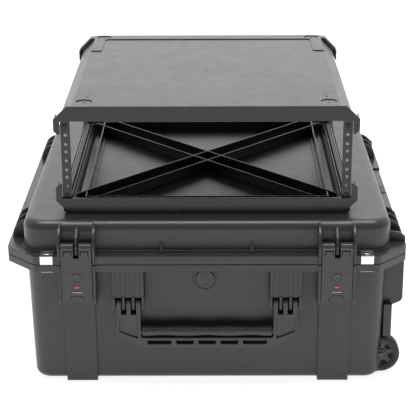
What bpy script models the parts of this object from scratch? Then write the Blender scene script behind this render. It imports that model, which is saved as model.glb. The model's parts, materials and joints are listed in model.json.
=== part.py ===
"""A wheeled equipment case with a three-unit rack cage standing on its closed lid.

X runs to the right (the wheel end), Y to the back (the hinge side) and Z up. The origin is
the middle of the footprint, on the floor. Sizes are in millimetres and MM turns them to metres.
Heights are measured from a plane LIFT above the feet, and main() raises everything by LIFT.
"""

import math

import bmesh
import bpy
from mathutils import Matrix, Vector

MM = 0.001
LIFT = 7.0
FOOT_Z = -LIFT
GAP = 0.3                 # clearance between neighbouring pieces
ROUND = 12                # sides of a pin, tube or small round hole

# ---- case: the two shells ----
FLANGE_HALF_X = 335.0
FLANGE_HALF_Y = 331.0
LID_FLANGE_BACK = 329.0   # the lid's flange stops just before the hinge axis
FLANGE_CUT = 50.0         # the flange's corners are cut at 45 degrees
FLANGE_BOTTOM_Z = 209.0
BASE_FLANGE_TOP_Z = 221.2
LID_FLANGE_BOTTOM_Z = 222.8
FLANGE_TOP_Z = 236.5
SEAM_Z = 222.0
BASE_RIM_Z = SEAM_Z - GAP
LID_RIM_Z = SEAM_Z + GAP
BASE_BOTTOM_Z = -5.0
BASE_BOTTOM_HALF = 298.0
BASE_TOP_HALF = 303.5
LID_HALF = 307.0
LID_TOP_Z = 288.0
WALL = 4.0
CORNER_RADIUS = 34.0
BASE_EDGE_RADIUS = 13.0
LID_EDGE_RADIUS = 16.0
CORNER_STEPS = 4
FACE_Y = 336.7            # front of the latches
SEAL_HALF = (311.0, 315.0)          # the seal's groove in the lid's rim
SEAL_TOP_Z = 226.5
GUARD_BOTTOM_Z = 120.0    # end guards beside the wheels
PILLAR_TOP_Z = 150.0      # strips below the latches, which end as feet

# ---- latches ----
LATCH_X = 215.0
LATCH_HALF = 25.5
LATCH_TOP_Z = 258.5
LATCH_BOTTOM_Z = 155.0
LATCH_BACK_Y = 329.0
LATCH_PIN_Y = 326.0
LATCH_PIN_Z = 250.0
FIN = 5.0                 # thickness of the guard fins
FIN_INNER = 26.0          # from a latch's middle to its fins
FIN_FRONT_Y = 335.0
FIN_BOTTOM_Z = 145.0
NOTCH_Y = 320.5           # the flange is notched this deep behind a latch
PIN_R = 2.6
PIN_HOLE_R = 3.0
LOCK_Z = 200.0
INDICATOR_Z = 184.0
TRIGGER_Z = 163.0
TRIGGER_Y = 331.5
LATCH_TOP_Y = 322.0       # back of the latch's head
HOOK_Y = 311.0            # reach of the hook under the base's flange
HOOK_Z = (199.0, 205.0, 208.4)
LATCH_SLOT_HALF = 4.0     # notch in the latch's top for the lid's rib
LOCK_R = 5.6
LOCK_BACK_Y = 330.2
INDICATOR_R = 2.6
TRIGGER_BACK_Y = 329.6
TRIGGER_HALF = (13.2, 9.0)
TRIGGER_SPAN_Z = (155.5, 166.0)
TRIGGER_PIN_R = 1.2

# ---- hinges and the parts round the flange ----
HINGE_Y = 331.0
HINGE_R = 6.0
HINGE_HALF = 31.0
HINGE_LID_HALF = 10.4
BRACKET_Z = (4.0, 16.0)   # a knuckle's bracket, measured from the hinge axis
BASE_WALL_Y = 301.5       # where the brackets reach the walls
LID_WALL_Y = 305.0
PADLOCK_X = 264.5
PADLOCK_HALF = 10.5
PADLOCK_HOLE_Y = 320.0
PADLOCK_BACK_Y = 309.0
PLATE_T = 1.6
VALVE_X = -3.0            # pressure valve on the front wall
VALVE_Z = 185.0
VALVE_R = 17.5
VALVE_STEM_R = 7.6
VALVE_NUT_R = 13.0
SIDE_FIN_Y = (177.0, 208.5, 240.0)
GUARD_Y = 262.0
FRONT_GUSSET_X = 75.0
PILLAR_X = (189.0, 241.5)
PILLAR_FRONT_Y = 305.0

# ---- carry handles, each drawn at the front and turned to its side ----
LUG = 5.0                 # thickness of the mounts' lugs and fingers
KNUCKLE_GAP = 1.2
MOUNT_REACH = 3.0         # the mounts stand this far beyond the knuckles
FRONT_HANDLE = {"mount_x": (105.0, 158.0), "wall": 303.0, "pin_y": 318.0, "pin_z": 148.0,
                "radius": 7.0, "shoulder_z": 129.0, "corner_z": 93.0, "corner_x": 115.0,
                "bottom_z": 68.0, "grip_half": 109.5, "grip_z": 96.0, "grip_r": 9.5,
                "turn": 0.0}
SIDE_HANDLE = {"mount_x": (68.0, 110.0), "wall": 303.0, "pin_y": 312.6, "pin_z": 148.0,
               "radius": 5.5, "shoulder_z": 133.0, "corner_z": 104.0, "corner_x": 80.0,
               "bottom_z": 84.0, "grip_half": 72.5, "grip_z": 107.0, "grip_r": 7.0,
               "turn": -math.pi / 2}
HANDLES = {"front": FRONT_HANDLE, "side": SIDE_HANDLE}
SLEEVE_WALL = 3.4
BAR_INSET = 4.0           # the bar is this much thinner than its soft sleeve
HANDLE_WINDOWS = 5
WINDOW_RIB = 10.0         # between two windows of a handle's frame

# ---- wheels ----
WHEEL_X = 300.5
WHEEL_Z = 30.0
WHEEL_R = 32.5
WHEEL_Y = (252.0, 278.0)
TYRE_INNER_R = 25.0
AXLE_R = 4.0
POCKET_X = 264.0
POCKET_Y = (214.7, 282.0)
POCKET_TOP_Z = 66.8
HOUSING_OUTER_X = 316.0
HOUSING_BOTTOM_Z = 1.5
HOUSING_TOP_Z = 119.0
HOUSING_DEPTH = 31.0      # from the pocket's inner side to the wheel
HOUSING_UPRIGHT_Y = 277.0
HUB_HOLES = 6
HUB_HOLE_R = 4.6
HUB_HOLE_RING = 18.0
BOLT_R = 6.5
BOLT_HEAD = 2.6

# ---- tow handle ----
TOW_X = 326.0
TOW_Y = 92.0
TOW_HALF_Y = 112.0
TOW_NOTCH_HALF_Y = 118.0
TOW_NOTCH_X = 316.5
SLEEVE_R = (9.0, 7.9)
STAGE_R = (7.4, 6.2)
TOW_ROD_R = 5.6
SLEEVE_Z = (42.0, 204.0)
STAGE_Z = (46.0, 205.0)
TOW_ROD_Z = (50.0, 213.0)
TOW_GRIP_Z = (212.0, 234.0)
CHASSIS_X = (304.2, 312.0, 335.0)   # the chassis' back, its plate's face and its brackets' face
CHASSIS_Z = (36.0, 60.0, 186.0, 204.0)
TOW_GRIP_HALF = 8.5
TOW_BUTTON_HALF = (5.0, 19.4)
TOW_BUTTON_Z = (228.0, 236.0)
SCREW_R = 2.0
SCREW_HEAD_R = 4.5
SCREW_Y = (-60.0, 60.0)
SCREW_Z = (80.0, 170.0)

# ---- foam liners ----
FOAM_BAY = (255.0, 259.0) # half sizes of the bay that takes the cage
FOAM_HALF = 291.0
FOAM_FLOOR_HALF = 272.0
FOAM_CUT = 20.0
FOAM_Z = (-0.4, 30.0, 205.0)
LID_FOAM_HALF = 288.0
LID_FOAM_Z = (262.0, 283.5)

# ---- rack cage, standing on the lid ----
CAGE_Z = LID_TOP_Z + GAP
CAGE_HALF = 251.5
CAGE_FRONT = -267.0
CAGE_BACK = 233.0
CAGE_HEIGHT = 186.2
CAGE_CHAMFER = 22.5
TRAY_INSET = 9.5          # the trays' sides stand this far inside their end frames
TRAY_CHAMFER = 21.5
TRAY_WALL = 4.0
TRAY_STEP = 0.6           # the end frames stand this far proud of the trays
REAR_CAP = 21.0           # depth of the upper tray's rear end frame
WINDOW_X = 200.0          # half width of the lower tray's opening
WINDOW_END = 40.0         # from the tray's ends to its opening
BEZEL = 6.0
BEAM = 26.8               # height of the lower beam
TOP_BEAM = 25.4           # height of the upper beam
LOWER_EAR_Z = 52.3
UPPER_EAR_Z = 138.3
EAR_X = 241.2
EAR_DEPTH = 34.0
EAR_CHAMFER = 6.0
RAIL_X = (224.8, 240.4)
RAIL_T = 2.0
RAIL_DEPTH = 24.0
RAIL_Z = (24.6, 162.0)
RAIL_HOLE_X = 232.55
RAIL_HOLE_R = 2.8
RACK_UNIT = 44.45
RACK_UNITS = 3
UNIT_HOLES = (6.35, 22.225, 38.1)   # hole heights within one rack unit
FIRST_UNIT_Z = 24.3
CROSS_WIDTH = 39.0        # an arm of the tray's X
CROSS_REACH = (203.0, 212.8)
RIB = 2.6
RIB_TOP = 20.0
FLOOR = 3.5

PARTS = None
CUTTERS = None

COLOURS = {               # colour, roughness, metallic
    "shell": ((0.030, 0.030, 0.031), 0.45, 0.0),
    "tray": ((0.026, 0.026, 0.025), 0.40, 0.0),
    "rail": ((0.035, 0.035, 0.034), 0.38, 0.3),
    "latch": ((0.045, 0.046, 0.047), 0.40, 0.0),
    "rubber": ((0.020, 0.020, 0.021), 0.65, 0.0),
    "tyre": ((0.030, 0.029, 0.031), 0.60, 0.0),
    "steel": ((0.80, 0.79, 0.77), 0.28, 1.0),
    "dark_steel": ((0.10, 0.10, 0.10), 0.35, 1.0),
    "foam": ((0.060, 0.060, 0.062), 0.95, 0.0),
    "indicator": ((0.60, 0.03, 0.06), 0.35, 0.0),
}


# ------------------------------------------------------------------ helpers

def start_scene():
    """Empties the scene and makes the two collections."""
    global PARTS, CUTTERS
    for obj in list(bpy.data.objects):
        bpy.data.objects.remove(obj, do_unlink=True)
    PARTS = bpy.data.collections.new("equipment_rack_case")
    CUTTERS = bpy.data.collections.new("cutters")
    bpy.context.scene.collection.children.link(PARTS)
    bpy.context.scene.collection.children.link(CUTTERS)


def tool_from(bm, name):
    """Turns a bmesh in metres into a hidden tool object."""
    mesh = bpy.data.meshes.new(name)
    bm.to_mesh(mesh)
    bm.free()
    obj = bpy.data.objects.new(name, mesh)
    CUTTERS.objects.link(obj)
    obj.hide_render = True
    obj.display_type = "WIRE"
    return obj


def box(low, high, name="box"):
    """Block between two corners, in any order."""
    bm = bmesh.new()
    bmesh.ops.create_cube(bm, size=1.0)
    size = [abs(b - a) for a, b in zip(low, high)]
    middle = [(a + b) / 2 for a, b in zip(low, high)]
    for vert in bm.verts:
        vert.co = Vector([m + s * c for m, s, c in zip(middle, size, vert.co)]) * MM
    return tool_from(bm, name)


def rod(start, end, radius, sides=ROUND, name="rod"):
    """Round bar between two points."""
    a = Vector(start)
    along = Vector(end) - a
    turn = along.to_track_quat("Z", "Y").to_matrix().to_4x4()
    bm = bmesh.new()
    bmesh.ops.create_cone(bm, cap_ends=True, segments=sides, radius1=radius * MM,
                          radius2=radius * MM, depth=along.length * MM)
    bm.transform(Matrix.Translation((a + along / 2) * MM) @ turn)
    return tool_from(bm, name)


AXES = {                  # outline u, v and thickness t to world x, y, z
    "X": Matrix(((0, 0, 1), (1, 0, 0), (0, 1, 0))).to_4x4(),
    "Y": Matrix(((1, 0, 0), (0, 0, -1), (0, 1, 0))).to_4x4(),
    "Z": Matrix.Identity(4),
}


def plate(loops, low, high, axis="Z", name="plate"):
    """Flat outline, with holes where it has more than one loop, between two planes on an axis."""
    curve = bpy.data.curves.new(name, "CURVE")
    curve.dimensions = "2D"
    curve.fill_mode = "BOTH"
    curve.extrude = abs(high - low) / 2 * MM
    for loop in loops:
        spline = curve.splines.new("POLY")
        spline.points.add(len(loop) - 1)
        for point, (u, v) in zip(spline.points, loop):
            point.co = (u * MM, v * MM, 0, 1)
        spline.use_cyclic_u = True
    outline = bpy.data.objects.new(name, curve)
    CUTTERS.objects.link(outline)
    middle = (low + high) / 2 * (-1 if axis == "Y" else 1)
    outline.matrix_world = AXES[axis] @ Matrix.Translation((0, 0, middle * MM))
    depsgraph = bpy.context.evaluated_depsgraph_get()
    mesh = bpy.data.meshes.new_from_object(outline.evaluated_get(depsgraph))
    bm = bmesh.new()
    bm.from_mesh(mesh)
    bm.transform(outline.matrix_world)
    bmesh.ops.remove_doubles(bm, verts=bm.verts, dist=0.00001)
    bmesh.ops.recalc_face_normals(bm, faces=bm.faces)
    bpy.data.objects.remove(outline)
    return tool_from(bm, name)


def merged(parts, name="group"):
    """One tool object that holds several separate solids."""
    bm = bmesh.new()
    for part in parts:
        bm.from_mesh(part.data)
        bpy.data.objects.remove(part)
    return tool_from(bm, name)


def turned(obj, angle):
    """Turns a tool about the vertical axis through the origin."""
    obj.data.transform(Matrix.Rotation(angle, 4, "Z"))
    return obj


def boolean(target, tool, operation):
    modifier = target.modifiers.new(operation.lower(), "BOOLEAN")
    modifier.operation = operation
    modifier.solver = "EXACT"
    modifier.object = tool


def joined(target, *tools):
    for tool in tools:
        boolean(target, tool, "UNION")
    return target


def cut(target, *tools):
    for tool in tools:
        boolean(target, tool, "DIFFERENCE")
    return target


def finish(obj, name, colour, parent=None):
    """Makes a tool object the finished node: its name, collection, material and parent."""
    CUTTERS.objects.unlink(obj)
    PARTS.objects.link(obj)
    obj.hide_render = False
    obj.display_type = "TEXTURED"
    obj.name = name
    obj.data.name = name
    base, roughness, metallic = COLOURS[colour]
    material = bpy.data.materials.new(name + "_" + colour)
    material.use_nodes = True
    shader = material.node_tree.nodes["Principled BSDF"]
    shader.inputs["Base Color"].default_value = (*base, 1.0)
    shader.inputs["Roughness"].default_value = roughness
    shader.inputs["Metallic"].default_value = metallic
    obj.data.materials.clear()
    obj.data.materials.append(material)
    obj.data.set_sharp_from_angle(angle=math.radians(35))
    if parent is not None:
        obj.parent = parent
        obj.matrix_parent_inverse = parent.matrix_basis.inverted()
    return obj


def pivot(name, x, y, z):
    """Empty on a joint's axis, for the pieces that move about it."""
    empty = bpy.data.objects.new(name, None)
    empty.empty_display_size = 0.03
    empty.matrix_basis = Matrix.Translation(Vector((x, y, z)) * MM)
    PARTS.objects.link(empty)
    return empty


def arc(centre, radius, start, end, steps):
    """Points on an arc, in degrees."""
    points = []
    for i in range(steps + 1):
        angle = math.radians(start + (end - start) * i / steps)
        points.append((centre[0] + radius * math.cos(angle),
                       centre[1] + radius * math.sin(angle)))
    return points


def rounded_rectangle(half_x, half_y, radius, steps=CORNER_STEPS):
    """Closed outline about the origin."""
    loop = []
    for quadrant, (sx, sy) in enumerate(((1, 1), (-1, 1), (-1, -1), (1, -1))):
        centre = (sx * (half_x - radius), sy * (half_y - radius))
        loop += arc(centre, radius, 90 * quadrant, 90 * quadrant + 90, steps)
    return loop


def shifted(loop, du, dv):
    return [(u + du, v + dv) for u, v in loop]


def mirrored(loop, sign):
    """Outline with its first coordinate multiplied by sign."""
    return [(sign * u, v) for u, v in loop]


# ------------------------------------------------------------------ the shells

def tub(half_open, z_open, half_closed, z_closed, edge_radius, is_open=True):
    """Five-sided moulding with rounded corners: an open surface, or a solid of its shape."""
    bm = bmesh.new()
    bmesh.ops.create_cube(bm, size=2.0)
    for vert in bm.verts:
        at_opening = (vert.co.z > 0) == (z_open > z_closed)
        half = half_open if at_opening else half_closed
        z = z_open if at_opening else z_closed
        vert.co = Vector((vert.co.x * half, vert.co.y * half, z)) * MM
    uprights = [e for e in bm.edges if abs(e.verts[0].co.z - e.verts[1].co.z) > MM]
    bmesh.ops.bevel(bm, geom=uprights, offset=CORNER_RADIUS * MM, segments=CORNER_STEPS,
                    profile=0.5, affect="EDGES")
    flat = [f for f in bm.faces if all(abs(v.co.z - z_closed * MM) < 1e-6 for v in f.verts)]
    bmesh.ops.bevel(bm, geom=list(flat[0].edges), offset=edge_radius * MM,
                    segments=CORNER_STEPS, profile=0.5, affect="EDGES")
    if is_open:
        mouth = [f for f in bm.faces if all(abs(v.co.z - z_open * MM) < 1e-6 for v in f.verts)]
        bmesh.ops.delete(bm, geom=mouth, context="FACES_ONLY")
    return tool_from(bm, "tub")


def flange_ring(low, high, back_y, inner_half):
    """Flat rim round a shell, with its four corners cut."""
    hx, hy, c = FLANGE_HALF_X, FLANGE_HALF_Y, FLANGE_CUT
    outer = [(hx, -hy + c), (hx, back_y - c), (hx - c, back_y), (-hx + c, back_y),
             (-hx, back_y - c), (-hx, -hy + c), (-hx + c, -hy), (hx - c, -hy)]
    inner = rounded_rectangle(inner_half, inner_half, CORNER_RADIUS)
    return plate([outer, inner], low, high, name="flange")


def flange_notches(low, high):
    """Clearances in the flange: behind the latches and for the tow handle."""
    notches = [box((s * LATCH_X - FIN_INNER, -FLANGE_HALF_Y - 5, low - 1),
                   (s * LATCH_X + FIN_INNER, -NOTCH_Y, high + 1)) for s in (-1, 1)]
    notches.append(box((TOW_NOTCH_X, -TOW_NOTCH_HALF_Y, low - 1),
                       (FLANGE_HALF_X + 5, TOW_NOTCH_HALF_Y, high + 1)))
    return notches


def padlock_holes(low, high):
    return [rod((s * PADLOCK_X, -PADLOCK_HOLE_Y, low), (s * PADLOCK_X, -PADLOCK_HOLE_Y, high), 4.0)
            for s in (-1, 1)]


def hinge_pin_holes():
    return [rod((s * LATCH_X - 40, HINGE_Y, SEAM_Z), (s * LATCH_X + 40, HINGE_Y, SEAM_Z),
                PIN_HOLE_R) for s in (-1, 1)]


def latch_fins(outline):
    """A pair of guard fins beside each latch."""
    fins = []
    for side in (-1, 1):
        for offset in (-FIN_INNER - FIN, FIN_INNER):
            x = side * LATCH_X + offset
            fins.append(plate([outline], x, x + FIN, "X"))
    return fins


def mounting_block(spec, side):
    """Handle mount: a block with two end lugs and two fingers, drawn on the front wall."""
    low_x, high_x = spec["mount_x"]
    pin_y, pin_z, r = spec["pin_y"], spec["pin_z"], spec["radius"]
    back = -spec["wall"] + 1.5
    front = -pin_y - r - 1.0
    top, bottom = pin_z + r + MOUNT_REACH, pin_z - r - MOUNT_REACH
    block = box((side * low_x, front, top), (side * high_x, back, FLANGE_BOTTOM_Z + 1))
    for start, end in finger_spans(spec):
        joined(block, box((side * start, front, bottom), (side * end, back, top + 2)))
    cut(block, rod((side * (low_x - 5), -pin_y, pin_z), (side * (high_x + 5), -pin_y, pin_z),
                   PIN_HOLE_R))
    return block


def finger_spans(spec):
    """X spans of the mount's lugs and fingers, which stand between three knuckles."""
    low_x, high_x = spec["mount_x"]
    spans = []
    pitch = (high_x - low_x - LUG) / 3
    for i in range(4):
        start = low_x + i * pitch
        spans.append((start, start + LUG))
    return spans


def knuckle_spans(spec):
    spans = finger_spans(spec)
    return [(a[1] + KNUCKLE_GAP, b[0] - KNUCKLE_GAP) for a, b in zip(spans, spans[1:])]


def handle_mounts(spec):
    return [turned_modified(mounting_block(spec, side), spec["turn"]) for side in (-1, 1)]


def baked(obj):
    """Applies an object's modifiers, so that it can be joined with others or turned."""
    depsgraph = bpy.context.evaluated_depsgraph_get()
    mesh = bpy.data.meshes.new_from_object(obj.evaluated_get(depsgraph))
    bm = bmesh.new()
    bm.from_mesh(mesh)
    bpy.data.objects.remove(obj)
    return tool_from(bm, "baked")


def turned_modified(obj, angle):
    return turned(baked(obj), angle)


def base_shell():
    """Lower shell with its flange, guards, mounts, hinge lugs, feet and wheel pockets."""
    shell = tub(BASE_TOP_HALF, BASE_RIM_Z, BASE_BOTTOM_HALF, BASE_BOTTOM_Z, BASE_EDGE_RADIUS)
    solidify = shell.modifiers.new("wall", "SOLIDIFY")
    solidify.thickness = WALL * MM
    solidify.offset = -1
    solidify.use_even_offset = True
    joined(shell, flange_ring(FLANGE_BOTTOM_Z, BASE_FLANGE_TOP_Z, FLANGE_HALF_Y, 301.4))

    fin = [(-300.5, 220.7), (-FIN_FRONT_Y, 220.7), (-FIN_FRONT_Y, FIN_BOTTOM_Z + 8),
           (-FIN_FRONT_Y + 8, FIN_BOTTOM_Z), (-300.5, FIN_BOTTOM_Z)]
    plates = latch_fins(fin)
    gusset = [(-301.0, 212.0), (-329.0, 212.0)] + arc((-303.0, 209.0), 26.0, 180, 270, 5)
    gusset.append((-301.0, 183.0))
    guard = [(300.0, 220.7), (FLANGE_HALF_X, 220.7), (FLANGE_HALF_X, GUARD_BOTTOM_Z + 10),
             (FLANGE_HALF_X - 8, GUARD_BOTTOM_Z + 1), (300.0, GUARD_BOTTOM_Z)]
    for side in (-1, 1):
        for y in (SIDE_FIN_Y[0], SIDE_FIN_Y[2]):
            plates.append(plate([gusset], side * y - FIN / 2, side * y + FIN / 2, "Y"))
        plates.append(plate([guard], side * GUARD_Y - FIN / 2, side * GUARD_Y + FIN / 2, "Y"))
    joined(shell, merged(plates))

    pillar = [(-296.5, PILLAR_TOP_Z), (-PILLAR_FRONT_Y, PILLAR_TOP_Z - 4), (-PILLAR_FRONT_Y, FOOT_Z),
              (-225.0, FOOT_Z), (-225.0, -3.0), (-286.0, -3.0), (-293.0, 0.2), (-296.5, 8.0)]
    pillars = []
    for side in (-1, 1):
        for ends in (-1, 1):
            low, high = sorted((side * PILLAR_X[0], side * PILLAR_X[1]))
            pillars.append(plate([mirrored(pillar, ends)], low, high, "X"))
    joined(shell, merged(pillars))

    mounts = handle_mounts(FRONT_HANDLE) + handle_mounts(SIDE_HANDLE)
    for side in (-1, 1):
        for start, end in ((-HINGE_HALF, -HINGE_LID_HALF - 0.6), (HINGE_LID_HALF + 0.6, HINGE_HALF)):
            mounts.append(hinge_knuckle(side * LATCH_X, start, end, -1))
    joined(shell, merged(mounts))

    corner = tub(BASE_TOP_HALF - 1.5, BASE_RIM_Z, BASE_BOTTOM_HALF - 1.5, BASE_BOTTOM_Z + 1.5,
                 BASE_EDGE_RADIUS, is_open=False)
    pockets = [box((POCKET_X - WALL, s * (POCKET_Y[0] - WALL), -15),
                   (340, s * (POCKET_Y[1] + WALL), POCKET_TOP_Z + WALL)) for s in (-1, 1)]
    boolean(corner, merged(pockets), "INTERSECT")
    joined(shell, corner)

    cuts = flange_notches(FLANGE_BOTTOM_Z, BASE_FLANGE_TOP_Z)
    for side in (-1, 1):
        cuts.append(box((POCKET_X, side * POCKET_Y[0], -12), (345, side * POCKET_Y[1], POCKET_TOP_Z)))
        x = side * LATCH_X
        cuts.append(box((x - HINGE_LID_HALF - 0.6, HINGE_Y - HINGE_R - 1, 200),
                        (x + HINGE_LID_HALF + 0.6, HINGE_Y + 10, 230)))
    cut(shell, merged(cuts))
    holes = padlock_holes(200, 230) + hinge_pin_holes()
    holes.append(rod((VALVE_X, -320, VALVE_Z), (VALVE_X, -285, VALVE_Z), VALVE_STEM_R + GAP))
    for y in SCREW_Y:
        for z in SCREW_Z:
            holes.append(rod((290, y, z), (310, y, z), SCREW_R + GAP))
    cut(shell, merged(holes))
    return finish(shell, "base_shell", "shell")


def hinge_knuckle(x, start, end, side):
    """One knuckle: a barrel on the hinge axis and a bracket to the wall, on the base (side -1)
    or the lid (side 1)."""
    near, far = (HINGE_Y - HINGE_R, HINGE_Y + HINGE_R)
    wall = BASE_WALL_Y if side < 0 else LID_WALL_Y
    barrel = arc((HINGE_Y, SEAM_Z), HINGE_R, 0, side * -180, 6)
    inner, top = (SEAM_Z + side * z for z in BRACKET_Z)
    outline = [(far, SEAM_Z)] + barrel[1:-1] + [(near, SEAM_Z), (near, inner), (wall, inner),
                                                (wall, top), (near, top), (far, SEAM_Z + side * 5)]
    return plate([outline], x + start, x + end, "X")


def lid_shell(parent):
    """Upper shell with its flange, latch fins, end guards and hinge knuckles."""
    shell = tub(LID_HALF, LID_RIM_Z, LID_HALF, LID_TOP_Z, LID_EDGE_RADIUS)
    solidify = shell.modifiers.new("wall", "SOLIDIFY")
    solidify.thickness = WALL * MM
    solidify.offset = -1
    solidify.use_even_offset = True
    joined(shell, flange_ring(LID_FLANGE_BOTTOM_Z, FLANGE_TOP_Z, LID_FLANGE_BACK, 305.0))

    low = LID_FLANGE_BOTTOM_Z + 0.5
    crest = [(-300.0 - 35.0 * math.sin(math.radians(a)), 250.0 + 33.5 * math.cos(math.radians(a)))
             for a in range(0, 91, 15)]
    plates = latch_fins(crest + [(-FIN_FRONT_Y, low), (-305.0, low), (-305.0, 268.0)])
    rib = [(-305.0, 274.0), (-318.0, 272.0), (-329.0, 262.0), (-331.0, 252.0), (-331.0, 238.0),
           (-324.0, 234.0), (-305.0, 234.0)]
    side_fin = [(305.0, 234.0)] + [(305.0 + 26.0 * math.cos(math.radians(a)),
                                    240.0 + 28.0 * math.sin(math.radians(a)))
                                   for a in range(0, 91, 18)]
    side_fin.insert(1, (331.0, 234.0))
    guard = [(305.0, low), (FLANGE_HALF_X, low), (FLANGE_HALF_X, 243.0), (328.0, 251.0),
             (305.0, 256.0)]
    for side in (-1, 1):
        plates.append(plate([rib], side * LATCH_X - FIN / 2, side * LATCH_X + FIN / 2, "X"))
        gusset = [(-305.0, 258.0), (-319.0, 240.0), (-319.0, 234.0), (-305.0, 234.0)]
        x = side * FRONT_GUSSET_X
        plates.append(plate([gusset], x - FIN / 2, x + FIN / 2, "X"))
        for y in SIDE_FIN_Y:
            for end in (-1, 1):
                plates.append(plate([mirrored(side_fin, end)], side * y - FIN / 2,
                                    side * y + FIN / 2, "Y"))
        plates.append(plate([guard], side * GUARD_Y - FIN / 2, side * GUARD_Y + FIN / 2, "Y"))
    joined(shell, merged(plates))
    knuckles = [hinge_knuckle(s * LATCH_X, -HINGE_LID_HALF, HINGE_LID_HALF, 1) for s in (-1, 1)]

    cuts = flange_notches(LID_FLANGE_BOTTOM_Z, FLANGE_TOP_Z)
    for side in (-1, 1):
        x = side * LATCH_X
        cuts.append(box((x - HINGE_HALF - 0.6, HINGE_Y - HINGE_R - 1.0, 215),
                        (x + HINGE_HALF + 0.6, HINGE_Y + 10, 245)))
    cuts.append(seal_ring(GAP - 0.1, 220, SEAL_TOP_Z))
    cut(shell, merged(cuts))
    joined(shell, merged(knuckles))
    holes = padlock_holes(215, 245) + hinge_pin_holes()
    for side in (-1, 1):
        holes.append(rod((side * LATCH_X - 35, -LATCH_PIN_Y, LATCH_PIN_Z),
                         (side * LATCH_X + 35, -LATCH_PIN_Y, LATCH_PIN_Z), PIN_HOLE_R))
    cut(shell, merged(holes))
    return finish(shell, "lid_shell", "shell", parent)


# ------------------------------------------------------------------ inside the case

def seal_ring(wider, low, high):
    """Ring that follows the seal's groove, wider or narrower than it on both sides."""
    inner, outer = SEAL_HALF[0] - wider, SEAL_HALF[1] + wider
    inner_radius = CORNER_RADIUS - wider
    outer_radius = inner_radius + outer - inner
    return plate([rounded_rectangle(outer, outer, outer_radius),
                  rounded_rectangle(inner, inner, inner_radius)], low, high)


def gasket(parent):
    return finish(seal_ring(-0.2, SEAM_Z - 0.4, SEAL_TOP_Z - 0.8), "gasket", "rubber", parent)


def chamfered_square(half, cut_off):
    """Square outline about the origin with its corners cut."""
    near = half - cut_off
    return [(half, -near), (half, near), (near, half), (-near, half), (-half, near),
            (-half, -near), (-near, -half), (near, -half)]


def foam_liners(lid):
    """Foam tray in the base that takes the cage, and a foam pad in the lid."""
    bay_x, bay_y = FOAM_BAY
    bay = [(bay_x, -bay_y), (bay_x, bay_y), (-bay_x, bay_y), (-bay_x, -bay_y)]
    low, floor, top = FOAM_Z
    tray = plate([chamfered_square(FOAM_FLOOR_HALF, FOAM_CUT)], low, floor)
    joined(tray, plate([chamfered_square(FOAM_HALF, FOAM_CUT), bay], floor - 1, top))
    corners = [box((POCKET_X - 7, s * (POCKET_Y[0] - 7), -9), (300, s * 300, POCKET_TOP_Z + 6))
               for s in (-1, 1)]
    cut(tray, merged(corners))
    finish(tray, "base_foam", "foam")
    finish(plate([chamfered_square(LID_FOAM_HALF, FOAM_CUT)], *LID_FOAM_Z), "lid_foam", "foam", lid)


def pressure_valve():
    """Disc on the front wall with a stem through it, and a nut inside."""
    valve = rod((VALVE_X, -309, VALVE_Z), (VALVE_X, -303.4, VALVE_Z), VALVE_R, 24)
    joined(valve, rod((VALVE_X, -304, VALVE_Z), (VALVE_X, -291.6, VALVE_Z), VALVE_STEM_R))
    finish(valve, "pressure_valve", "latch")
    nut = rod((VALVE_X, -297.9, VALVE_Z), (VALVE_X, -292.2, VALVE_Z), VALVE_NUT_R, 6)
    cut(nut, rod((VALVE_X, -305, VALVE_Z), (VALVE_X, -285, VALVE_Z), VALVE_STEM_R + GAP))
    finish(nut, "valve_nut", "rubber")


# ------------------------------------------------------------------ latches and fittings

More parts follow.
